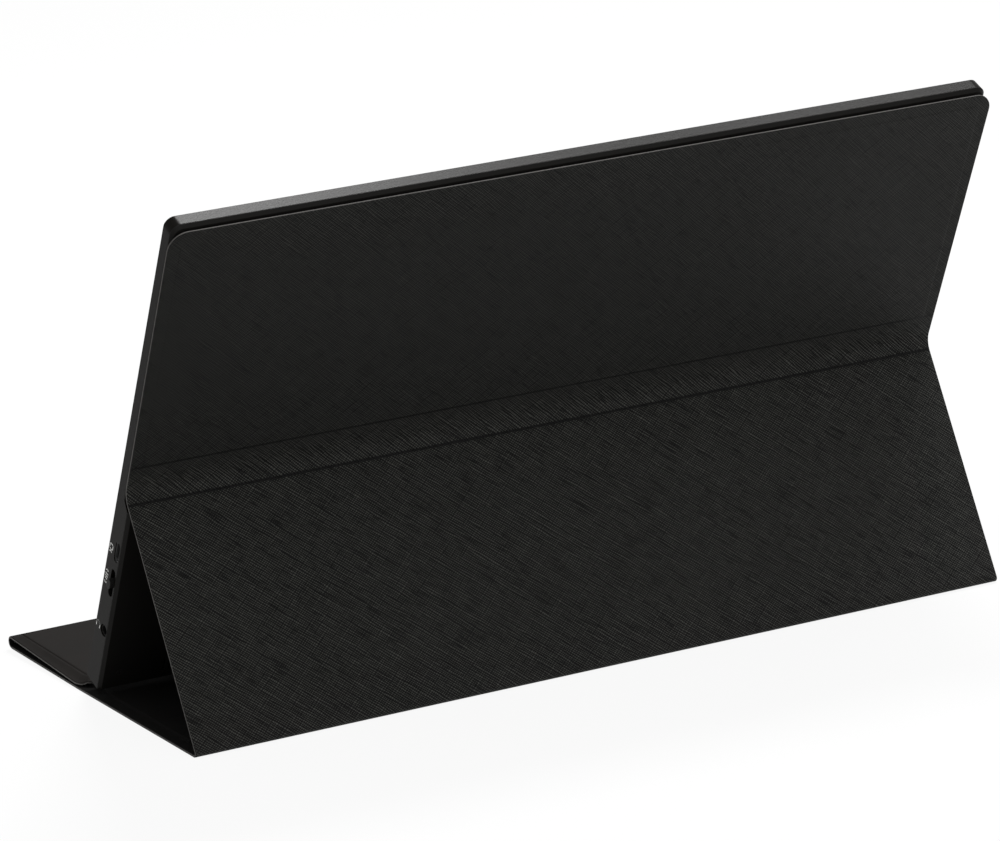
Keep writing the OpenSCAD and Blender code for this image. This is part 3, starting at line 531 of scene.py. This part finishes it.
def turn_outwards(data):
    """Makes every face of a closed mesh point out."""
    form = bmesh.new()
    form.from_mesh(data)
    bmesh.ops.recalc_face_normals(form, faces=form.faces)
    form.to_mesh(data)
    form.free()


def mesh_object(name, points, faces, materials, face_slots=None):
    data = bpy.data.meshes.new(name)
    data.from_pydata(points, [], faces)
    for material in materials:
        data.materials.append(material)
    if face_slots:
        data.polygons.foreach_set("material_index", face_slots)
    return linked(name, data)


# Points nearer to a corner's centre than this share of its radius stay where they are
CORNER_CORE = 0.6


def squared_corner(point):
    """Draws the monitor's corner arcs out to tighter ones, nearly square at the foot."""
    x, y, _ = (MONITOR.inverted() @ point) / MM
    upper = y > MONITOR_H / 2
    out = abs(x) - (MONITOR_W / 2 - MONITOR_R)
    along = y - (MONITOR_H - MONITOR_R) if upper else MONITOR_R - y
    reach = math.hypot(out, along)
    if min(out, along) < 0 or reach < CORNER_CORE * MONITOR_R:
        return point
    a, b, r = out / reach, along / reach, TOP_R if upper else FOOT_R
    shift = MONITOR_R - r
    drawn = MONITOR_R / max(a, b)
    if drawn * min(a, b) > shift:
        middle = shift * (a + b)
        drawn = middle + math.sqrt(max(middle**2 - 2 * shift**2 + r**2, 0))
    grown = drawn / MONITOR_R - 1
    moved = Vector((math.copysign(out * grown, x), (along if upper else -along) * grown, 0)) * MM
    return point + MONITOR.to_3x3() @ moved


# Edges that turn by more than this are sharp, and are eased
EASE_ANGLE = math.radians(28)
# Points this near to each other are one, in metres, and facets that turn by less are one flat face
SAME_POINT, FLAT_TURN = 2e-6, math.radians(0.5)


def refined(node, body, material, width, reshape=None):
    """A CAD node's own shape with its sharp edges eased by a bevel of a width in millimetres.

    reshape moves each point first.
    """
    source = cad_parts[node]
    form = bmesh.new()
    form.from_mesh(source.data)
    bmesh.ops.remove_doubles(form, verts=form.verts, dist=SAME_POINT)
    bmesh.ops.dissolve_limit(form, angle_limit=FLAT_TURN, verts=form.verts, edges=form.edges)
    if reshape:
        for vertex in form.verts:
            vertex.co = reshape(vertex.co)
    data = bpy.data.meshes.new(node + "_eased")
    form.to_mesh(data)
    form.free()
    data.materials.clear()
    data.materials.append(material)
    piece = linked(node + "_eased", data)
    bevel = piece.modifiers.new("ease", "BEVEL")
    bevel.width = width * MM
    bevel.segments = 2
    bevel.limit_method = "ANGLE"
    bevel.angle_limit = EASE_ANGLE
    bevel.harden_normals = True
    for polygon in data.polygons:
        polygon.use_smooth = True
    data.set_sharp_from_angle(angle=EASE_ANGLE)
    level = piece.modifiers.new("level_faces", "WEIGHTED_NORMAL")
    level.weight = 100
    level.keep_sharp = True
    dress(piece, body, node)


# ---- Cover: its sheets ----
board_w = COVER_W - 2 * RIM
# Rounding of a sheet's outer edge, and the angle past which its edges stay sharp
EDGE_R, SHEET_SHARP = 0.28, 50
# How deep the leather is pressed beside the boards. It rises to a board from RISE_OUT outside it
PRESS, RISE_OUT, RISE_W = 0.12, 0.7, 1.0
# The lining rises to a board from this far outside the board's own lining
LINING_OUT, LINING_RISE = 0.3, 0.7
# Groove outside a board: its distance, and its width and depth on any panel and, over that, on a drooping one
GROOVE_AT = 0.45
GROOVE_W, GROOVE_D = 0.22, 0.03
DEEP_GROOVE_W, DEEP_GROOVE_D = 0.3, 0.25
# Leather that is left under the deepest press
SKIN_LEFT = 0.1
# Corner radius of a board beside a fold
FOLD_BOARD_R = 0.6
# A drooping rim sinks over this width beside the board, and is back up over DROOP_FADE before the fold
DROOP_W, DROOP_FADE = RIM - 0.8, 14.0
# Distances from the side edge at which a panel has lines of points
EDGE_LINES = [0, 0.06, 0.14, 0.28, 0.8, 2.4, 3.8, 4.3, 4.6, 4.8, 5.0, 5.2, 5.4, 5.7, 6.2, 7.5, 12, 40, 100]
# Distances from a board's end at which a panel has rows of points
BOARD_ROWS = [-1.6, -1.1, -0.8, -0.6, -0.45, -0.3, -0.1, 0.15, 0.4, 0.9, 1.8]
# Rows closer than this are one, and a rounded corner has a row for each CORNER_STEP degrees
MIN_ROW, CORNER_STEP = 0.04, 5
# No row lies nearer than this to the line where the base springs up, which has its own
SPRING_ROW = 0.5
# Outline of a stretch that runs on into its neighbours: low end, high end, and the corners' radii there
OPEN_OUTLINE = (-500, 900, 0, 0)
# How far a panel's outline is carried past an end that has a fold, so that the end isn't rounded
CARRY = 50


def smooth(t):
    """Smooth step from 0 at 0 to 1 at 1."""
    t = min(max(t, 0), 1)
    return t * t * (3 - 2 * t)


def inside_of(x, along, low, high, half_w, r_low, r_high):
    """Distance into a rounded outline, negative outside it."""
    mid = (low + high) / 2
    r = r_low if along < mid else r_high
    beside = abs(x) - (half_w - r)
    beyond = max(low - along, along - high) + r
    if beside > 0 and beyond > 0:
        return r - math.hypot(beside, beyond)
    return r - max(beside, beyond)


def edge_drop(d):
    """Depth of the rounded edge at a distance d from it."""
    return EDGE_R - math.sqrt(max(0, EDGE_R**2 - (EDGE_R - d) ** 2)) if d < EDGE_R else 0.0


def groove(into, width, depth):
    """Depth of a groove along a board; into is the distance inside the board's outline."""
    return depth * math.exp(-(((into + GROOVE_AT) / width) ** 2))


def pressed(into):
    """How deep the leather lies; into is the distance inside a board's outline."""
    return PRESS * (1 - smooth((into + RISE_OUT) / RISE_W)) + groove(into, GROOVE_W, GROOVE_D)


def lining_depth(into):
    """How deep the lining's face lies; into is the distance inside a board's outline."""
    return STRIP_T + (COVER_T - STRIP_T) * smooth((into + LINING_T + LINING_OUT) / LINING_RISE)


def into_boards(boards, start_at, r_low=FOLD_BOARD_R, r_high=FOLD_BOARD_R):
    """A function of x and along that gives the distance inside the nearest board.

    boards are spans (low, high) along the cover, counted from start_at.
    """

    def distance(x, along):
        run = along - start_at
        return max(inside_of(x, run, low, high, board_w / 2, r_low, r_high) for low, high in boards)

    return distance


def half_width(along, low, high, r_low, r_high):
    """Half the cover's width at along, with its free corners rounded."""
    for r, d in ((r_low, along - low), (r_high, high - along)):
        if r > 0 and d < r:
            return COVER_W / 2 - r + math.sqrt(max(0, r * r - (r - d) ** 2))
    return COVER_W / 2


def cover_sheet(name, rows, start_at, outer, inner, ends, materials):
    """Closed sheet over stations. outer(x, along) and inner(x, along) are depths below the outer face.

    ends is (low, high, corner radius at low, corner radius at high). materials are those of the outer face,
    of the inner face with the ends at a fold, and of the free edges.
    """
    low, high, r_low, r_high = ends
    columns = EDGE_LINES + [-d for d in reversed(EDGE_LINES)]
    n = len(columns)
    points, uvs = [], []
    for depth in (outer, inner):
        for run, y, z, turn in rows:
            along = start_at + run
            half = half_width(along, low, high, r_low, r_high)
            for k, d in enumerate(columns):
                x = (half - d) if k < n // 2 else -(half + d)
                t = depth(x, along)
                points.append(Vector((x, y - t * sin(turn), z + t * cos(turn))) * MM)
                uvs.append((x * MM, along * MM))
    m = len(rows)
    faces, slots = [], []

    def at(layer, i, k):
        return layer * m * n + i * n + k

    for i in range(m - 1):
        for k in range(n - 1):
            faces.append([at(0, i, k), at(0, i, k + 1), at(0, i + 1, k + 1), at(0, i + 1, k)])
            faces.append([at(1, i, k), at(1, i + 1, k), at(1, i + 1, k + 1), at(1, i, k + 1)])
            slots += [0, 1]
        faces.append([at(0, i, 0), at(0, i + 1, 0), at(1, i + 1, 0), at(1, i, 0)])
        faces.append([at(0, i, n - 1), at(1, i, n - 1), at(1, i + 1, n - 1), at(0, i + 1, n - 1)])
        slots += [2, 2]
    for k in range(n - 1):
        faces.append([at(0, 0, k), at(1, 0, k), at(1, 0, k + 1), at(0, 0, k + 1)])
        faces.append([at(0, m - 1, k), at(0, m - 1, k + 1), at(1, m - 1, k + 1), at(1, m - 1, k)])
        slots += [2 if r_low else 1, 2 if r_high else 1]
    piece = mesh_object(name, points, faces, materials, slots)
    layer = piece.data.uv_layers.new(name="cover")
    for loop in piece.data.loops:
        layer.data[loop.index].uv = uvs[loop.vertex_index]
    turn_outwards(piece.data)
    for polygon in piece.data.polygons:
        polygon.use_smooth = True
    piece.data.set_sharp_from_angle(angle=math.radians(SHEET_SHARP))
    return piece


def rows_for(length, boards, free_low=0, free_high=0):
    """Runs of a panel's rows: its ends, near the boards' ends, and round free corners of these radii."""
    marks = {0.0, length}
    for low, high in boards:
        marks |= {low - t for t in BOARD_ROWS} | {high + t for t in BOARD_ROWS}
    for angle in range(0, 91, CORNER_STEP):
        if free_low:
            marks.add(free_low * (1 - sin(angle)))
        if free_high:
            marks.add(length - free_high * (1 - sin(angle)))
    kept = []
    for t in sorted(t for t in marks if 0 <= t <= length):
        if not kept or t - kept[-1] > MIN_ROW:
            kept.append(t)
    kept[-1] = length
    return kept


def make_panel(
    name, body, nodes, low_end, length, start_at, boards, r_low=0, r_high=0, top=LEATHER, droop=(0, 0)
):
    """Outer skin and lining of one flat panel.

    low_end is the (y, z, turn) of its low end, and start_at the place of that end along the cover.
    droop says how far the rim sinks towards the cover's inside, at the sides and at the low end.
    """
    rows = straight(*low_end, length, rows_for(length, boards, r_low, r_high))
    low = start_at - (0 if r_low else CARRY)
    high = start_at + length + (0 if r_high else CARRY)
    into_board = into_boards(boards, start_at, *(BOARD_R if r else FOLD_BOARD_R for r in (r_low, r_high)))
    extra_groove = DEEP_GROOVE_D if max(droop) else 0

    def edge(x, along):
        return edge_drop(inside_of(x, along, low, high, COVER_W / 2, r_low, r_high))

    def sunk(x, along):
        side, end = droop
        side *= smooth((abs(x) - board_w / 2) / DROOP_W) * smooth((start_at + length - along) / DROOP_FADE)
        return max(side, end * smooth((start_at + boards[0][0] - along) / DROOP_W))

    def outer(x, along):
        into = into_board(x, along)
        depth = edge(x, along) + pressed(into) + groove(into, DEEP_GROOVE_W, extra_groove)
        return min(depth, SKIN_T - SKIN_LEFT) + sunk(x, along)

    def between(x, along):
        return SKIN_T + sunk(x, along)

    def lining(x, along):
        return lining_depth(into_board(x, along)) - 0.5 * edge(x, along) + sunk(x, along)

    ends = (low, high, r_low, r_high)
    skin = cover_sheet(
        name + "_leather", rows, start_at, outer, between, ends, [top, MICROFIBRE, CUT_EDGE]
    )
    dress(skin, body, nodes[0])
    inside = cover_sheet(
        name + "_inside", rows, start_at, between, lining, ends, [MICROFIBRE, MICROFIBRE, CUT_EDGE]
    )
    dress(inside, body, nodes[1])


def side_edge(x):
    """Depth of the rounded edge along the cover's straight sides."""
    return edge_drop(COVER_W / 2 - abs(x))


def make_fold(name, node, bodies, rows, start_at, top):
    """Skin and lining of a fold in one sheet, at the joint between two bodies; it stays where it is made."""

    def outer(x, along):
        return side_edge(x) + PRESS

    def inner(x, along):
        return STRIP_T - 0.5 * side_edge(x)

    fold = cover_sheet(name, rows, start_at, outer, inner, OPEN_OUTLINE, [top, MICROFIBRE, CUT_EDGE])
    first, last = rows[0], rows[-1]
    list(bodies)
    first[1] * MM
    first[2] * MM
    last[1] * MM
    last[2] * MM
    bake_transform(fold)
    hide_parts(node)


# How far the flap's rim sinks, at its sides and at its free end
FLAP_DROOP = (1.9, 1.0)
flap_start = (ROOT_Y - FLAP_LEN * cos(flap_turn), ROOT_Z - FLAP_LEN * sin(flap_turn), flap_turn)
make_panel(
    "flap", "flap", ("flap_skin", "flap_lining"), flap_start, flap_len, 0,
    [(RIM, FLAP_LEN - FOLD_INSET)], r_low=COVER_R, top=SMOOTH_LEATHER, droop=FLAP_DROOP,
)
leg_from = REAR_RUN + FOLD_FLAT
make_panel(
    "leg", "leg", ("leg_skin", "leg_lining"),
    (REAR_Y + leg_from * cos(REAR_BEND), leg_from * sin(REAR_BEND), REAR_BEND), leg_len, leg_at,
    [(REAR_BOARD_END - leg_from, leg_len + FOLD_FLAT - FOLD_INSET)],
)
back_from = CREASE_RUN + FOLD_FLAT
make_panel(
    "back", "back", ("back_skin", "back_lining"),
    (CREASE_Y + back_from * cos(BACK_TURN), CREASE_Z + back_from * sin(BACK_TURN), BACK_TURN),
    back_len, back_at,
    [(SOFT_W - back_from, back_len - RIM)], r_high=COVER_R,
)


def make_base():
    """The base lies flat at the rear and rises to its front fold. The spine has a board of its own."""
    spine = [REAR_Y - SPINE_W + SPINE_GAP / 2 - SPRING_Y, REAR_Y - REAR_BOARD_END - SPRING_Y]
    board_high = REAR_Y - SPINE_W - SPINE_GAP / 2 - SPRING_Y
    front = (
        SPRING_Y - raised_len * cos(spring_turn),
        -raised_len * sin(spring_turn),
        spring_turn,
    )
    boards = [
        (FOLD_INSET - FOLD_FLAT, raised_len + board_high),
        (raised_len + spine[0], raised_len + spine[1]),
    ]
    marks = rows_for(raised_len + base_flat, boards)
    rows = straight(*front, raised_len, [t for t in marks if t < raised_len - SPRING_ROW])
    on_table = [0.0] + [t - raised_len for t in marks if t > raised_len + SPRING_ROW]
    for run, *station in straight(SPRING_Y, 0, 0, base_flat, on_table):
        rows.append((raised_len + run, *station))
    into_board = into_boards(boards, base_at)

    def outer(x, along):
        return side_edge(x)

    def between(x, along):
        return SKIN_T

    def lining(x, along):
        return lining_depth(into_board(x, along)) - 0.5 * side_edge(x)

    skin = cover_sheet(
        "base_leather", rows, base_at, outer, between, OPEN_OUTLINE, [LEATHER, MICROFIBRE, CUT_EDGE]
    )
    inside = cover_sheet(
        "base_inside", rows, base_at, between, lining, OPEN_OUTLINE, [MICROFIBRE, MICROFIBRE, CUT_EDGE]
    )
    dress(skin, "base", "base_skin")
    dress(inside, "base", "base_lining")


make_base()
for name, node, bodies, rows, start_at, top in (
    ("front_roll", "front_fold", ("flap", "base"), front_rows, front_at, SMOOTH_LEATHER),
    ("rear_roll", "rear_fold", ("base", "leg"), rear_rows, rear_at, LEATHER),
    ("crease_bend", "crease_fold", ("leg", "back"), crease_rows, crease_at, LEATHER),
):
    make_fold(name, node, bodies, with_flats(rows, FOLD_FLAT), start_at + FOLD_FLAT, top)

# ---- Monitor ----
refined("front_housing", "monitor", HOUSING, 0.14, reshape=squared_corner)
refined("rear_cover", "monitor", REAR_PAINT, 0.08, reshape=squared_corner)
refined("menu_lever", "menu_rocker", BLACK_PLASTIC, 0.25)
refined("power_button", "power_cap", BLACK_PLASTIC, 0.2)


# ---- Pictograms beside the sockets ----
# Width of a stroke, how far the ink stands out, and the distance of the signs' middle from the rear face
INK_W, INK_PROUD, ICON_Z = 0.42, 0.03, 8.3


def pictogram(name, side, strokes):
    """Flat ink lines on the monitor's side face; side is 1 or -1, strokes are runs of (height, depth)."""
    points, faces = [], []
    for run in strokes:
        for (y0, z0), (y1, z1) in zip(run, run[1:]):
            length = math.hypot(y1 - y0, z1 - z0)
            ty, tz = (y1 - y0) / length * INK_W / 2, (z1 - z0) / length * INK_W / 2
            corners = [
                (y0 - ty - tz, z0 - tz + ty),
                (y0 - ty + tz, z0 - tz - ty),
                (y1 + ty + tz, z1 + tz - ty),
                (y1 + ty - tz, z1 + tz + ty),
            ]
            first = len(points)
            for proud in (-INK_PROUD, INK_PROUD):
                x = side * (MONITOR_W / 2 + proud)
                points += [MONITOR @ (Vector((x, y, z)) * MM) for y, z in corners]
            low, high = [first + k for k in range(4)], [first + 4 + k for k in range(4)]
            faces += [low[::-1], high]
            faces += [[low[k], low[(k + 1) % 4], high[(k + 1) % 4], high[k]] for k in range(4)]
    ink = mesh_object(name, points, faces, [WHITE_INK])
    turn_outwards(ink.data)
    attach(ink, "monitor")


def arc(y, z, r, start, stop, count=10):
    """A run of points on a circle, from one angle to another."""
    turns = [start + (stop - start) * k / count for k in range(count + 1)]
    return [(y + r * sin(t), z + r * cos(t)) for t in turns]


headphones = [
    arc(JACK_Y - 0.2, ICON_Z, 1.35, 0, 180),
    [(JACK_Y - 1.4, ICON_Z + 1.3), (JACK_Y - 0.4, ICON_Z + 1.3)],
    [(JACK_Y - 1.4, ICON_Z - 1.3), (JACK_Y - 0.4, ICON_Z - 1.3)],
]
menu_marks = [[(JOG_Y + k, ICON_Z - 0.9), (JOG_Y + k, ICON_Z + 0.9)] for k in (-1.1, 0, 1.1)]
menu_marks += [
    [(JOG_Y + turn * 2.6, ICON_Z - 0.7), (JOG_Y + turn * 3.3, ICON_Z), (JOG_Y + turn * 2.6, ICON_Z + 0.7)]
    for turn in (-1, 1)
]


def screen_mark(y):
    """A screen on its foot."""
    low, high, half = y - 0.9, y + 1.4, 1.2
    foot, foot_half = low - 1.1, 0.8
    rear, front = ICON_Z - half, ICON_Z + half
    outline = [(low, rear), (high, rear), (high, front), (low, front), (low, rear)]
    stem = [(low, ICON_Z), (foot, ICON_Z)]
    return [outline, stem, [(foot, ICON_Z - foot_half), (foot, ICON_Z + foot_half)]]


power_ring = arc(POWER_Y, ICON_Z, 1.2, -240, 60, 14)
power_bar = [(POWER_Y, ICON_Z), (POWER_Y + 1.5, ICON_Z)]

pictogram("headphones_mark", 1, headphones)
pictogram("menu_mark", 1, menu_marks)
pictogram("screen_mark_right", 1, screen_mark(PORT_Y - 0.8))
pictogram("screen_mark_left", -1, screen_mark(LEFT_PORT_Y))
pictogram("video_mark", -1, screen_mark(VIDEO_Y))
pictogram("power_mark", -1, [power_ring, power_bar])


# ---- Contacts on the sockets' tongues ----
def contact_tree():
    """Geometry Nodes: a row of flat contacts, centred on the origin, along y."""
    tree = bpy.data.node_groups.new("contact_row", "GeometryNodeTree")
    tree.interface.new_socket("Row", in_out="OUTPUT", socket_type="NodeSocketGeometry")
    tree.interface.new_socket("Count", in_out="INPUT", socket_type="NodeSocketInt")
    for name in ("Pitch", "Length", "Width", "Thickness"):
        tree.interface.new_socket(name, in_out="INPUT", socket_type="NodeSocketFloat")
    tree.interface.new_socket("Finish", in_out="INPUT", socket_type="NodeSocketMaterial")

    def node(kind, **settings):
        made = tree.nodes.new(kind)
        for key, value in settings.items():
            setattr(made, key, value)
        return made

    sizes, result = node("NodeGroupInput"), node("NodeGroupOutput")
    gaps = node("ShaderNodeMath", operation="SUBTRACT")
    span = node("ShaderNodeMath", operation="MULTIPLY")
    start = node("ShaderNodeMath", operation="MULTIPLY")
    gaps.inputs[1].default_value, start.inputs[1].default_value = 1.0, -0.5
    first, step, size = (node("ShaderNodeCombineXYZ") for _ in range(3))
    row, contact = node("GeometryNodeMeshLine", mode="OFFSET"), node("GeometryNodeMeshCube")
    placed_row, solid = node("GeometryNodeInstanceOnPoints"), node("GeometryNodeRealizeInstances")
    finish = node("GeometryNodeSetMaterial")
    for source, target in (
        (sizes.outputs["Count"], gaps.inputs[0]),
        (gaps.outputs[0], span.inputs[0]),
        (sizes.outputs["Pitch"], span.inputs[1]),
        (span.outputs[0], start.inputs[0]),
        (start.outputs[0], first.inputs["Y"]),
        (sizes.outputs["Pitch"], step.inputs["Y"]),
        (sizes.outputs["Count"], row.inputs["Count"]),
        (first.outputs[0], row.inputs["Start Location"]),
        (step.outputs[0], row.inputs["Offset"]),
        (sizes.outputs["Length"], size.inputs["X"]),
        (sizes.outputs["Width"], size.inputs["Y"]),
        (sizes.outputs["Thickness"], size.inputs["Z"]),
        (size.outputs[0], contact.inputs["Size"]),
        (row.outputs["Mesh"], placed_row.inputs["Points"]),
        (contact.outputs["Mesh"], placed_row.inputs["Instance"]),
        (placed_row.outputs[0], solid.inputs[0]),
        (solid.outputs[0], finish.inputs["Geometry"]),
        (sizes.outputs["Finish"], finish.inputs["Material"]),
        (finish.outputs[0], result.inputs["Row"]),
    ):
        tree.links.new(source, target)
    return tree


CONTACTS = contact_tree()
CONTACT_L, CONTACT_T = 2.2, 0.03
# A contact is half as wide as its pitch, and its middle lies this far above the tongue's face
CONTACT_SHARE, CONTACT_LIFT = 0.5, 0.005
# Depth of a tongue's tip in its mouth, and of the contacts behind the tip
TONGUE_TIP, CONTACT_INSET = 1.65, 0.3
# Rear and front faces of the tongues, counted from the middle of the mouths
TYPE_C_TONGUE, VIDEO_TONGUE = (-0.35, 0.35), (0.0, 0.6)


def contact_row(name, side, y, z, count, pitch):
    """One row of contacts on a tongue's flat face, on the monitor's right (1) or left (-1)."""
    seed = linked(name + "_seed", bpy.data.meshes.new(name + "_seed"))
    modifier = seed.modifiers.new("row", "NODES")
    modifier.node_group = CONTACTS
    values = {
        "Count": count,
        "Pitch": pitch * MM,
        "Length": CONTACT_L * MM,
        "Width": pitch * CONTACT_SHARE * MM,
        "Thickness": CONTACT_T * MM,
        "Finish": PLATED,
    }
    for socket in CONTACTS.interface.items_tree:
        if socket.name in values:
            modifier[socket.identifier] = values[socket.name]
    depsgraph = bpy.context.evaluated_depsgraph_get()
    data = bpy.data.meshes.new_from_object(seed.evaluated_get(depsgraph))
    bpy.data.objects.remove(seed)
    x = side * (MONITOR_W / 2 - TONGUE_TIP - CONTACT_INSET - CONTACT_L / 2)
    data.transform(MONITOR @ Matrix.Translation(Vector((x, y, z)) * MM))
    row = linked(name, data)
    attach(row, "monitor")


for label, side, y, (rear, front), count, pitch in (
    ("type_c_right", 1, PORT_Y, TYPE_C_TONGUE, 12, 0.5),
    ("type_c_left", -1, LEFT_PORT_Y, TYPE_C_TONGUE, 12, 0.5),
    ("video", -1, VIDEO_Y, VIDEO_TONGUE, 10, 0.6),
):
    contact_row(f"{label}_contacts_rear", side, y, PORT_Z + rear - CONTACT_LIFT, count, pitch)
    contact_row(f"{label}_contacts_front", side, y, PORT_Z + front + CONTACT_LIFT, count, pitch)


# ---- Stage ----
FLOOR_HALF = 30.0
# Strength of the world: of the light that it gives, and as it is seen, where 1 is white
WORLD_LIGHT, WORLD_SEEN = 0.45, 1.0
# Share of plain white in the floor as it is seen; the rest is lit paper, which holds the shadow
FLOOR_WHITE = 0.9


def make_floor():
    half = FLOOR_HALF
    corners = [(-half, -half, 0), (half, -half, 0), (half, half, 0), (-half, half, 0)]
    shader = new_material("floor_paper")
    paper = shader.node("ShaderNodeBsdfDiffuse", None, {"Color": grey(0.9)})
    glow = shader.node("ShaderNodeEmission", None, {"Color": grey(1.0), "Strength": 1.0})
    mix = {0: shader.seen() * FLOOR_WHITE, 1: paper, 2: glow}
    floor_paper = shader.finish(shader.node("ShaderNodeMixShader", None, mix))
    mesh_object("floor", corners, [(0, 1, 2, 3)], [floor_paper])


def make_world():
    world = bpy.data.worlds.new("studio")
    bpy.context.scene.world = world
    shader = Shader(world, "ShaderNodeOutputWorld")
    light, backdrop = (
        shader.node("ShaderNodeBackground", None, {"Color": grey(1.0), "Strength": strength})
        for strength in (WORLD_LIGHT, WORLD_SEEN)
    )
    shader.finish(shader.node("ShaderNodeMixShader", None, {0: shader.seen(), 1: light, 2: backdrop}))


def lamp(name, place, target, size, power):
    """Rectangular lamp of a size in metres and a power in watts, turned to the target."""
    data = bpy.data.lights.new(name, "AREA")
    data.shape = "RECTANGLE"
    data.size, data.size_y = size
    data.energy = power
    light = linked(name, data)
    light.location = place
    light.rotation_euler = (Vector(target) - Vector(place)).to_track_quat("-Z", "Y").to_euler()


def make_camera():
    """Long lens, from behind and to the left. The picture is 1000 by 841 pixels."""
    focal_px, width_px = 5871.5, 1000
    data = bpy.data.cameras.new("camera")
    data.sensor_width = 36.0
    data.lens = focal_px * data.sensor_width / width_px
    data.clip_start, data.clip_end = 0.05, 100
    camera = linked("camera", data)
    camera.location = (1.09222, 1.92112, 0.7166)
    camera.rotation_euler = (1.2903, 0.0355, 2.6145)
    bpy.context.scene.camera = camera


make_floor()
make_world()
lamp("top", (0.3, 0.5, 1.8), (0, 0, 0.1), (1.6, 1.2), 5)
lamp("behind", (0.1, 2.1, 0.55), (0, 0, 0.1), (1.6, 0.8), 12)
lamp("near_strip", (-0.50, -0.57, 1.50), (0.1, 0.08, 0.2), (0.5, 0.14), 18.5)
lamp("far_strip", (-0.97, -0.53, 1.42), (-0.1, 0.08, 0.2), (0.4, 0.14), 4)
make_camera()

bpy.context.scene.view_settings.view_transform = "Standard"
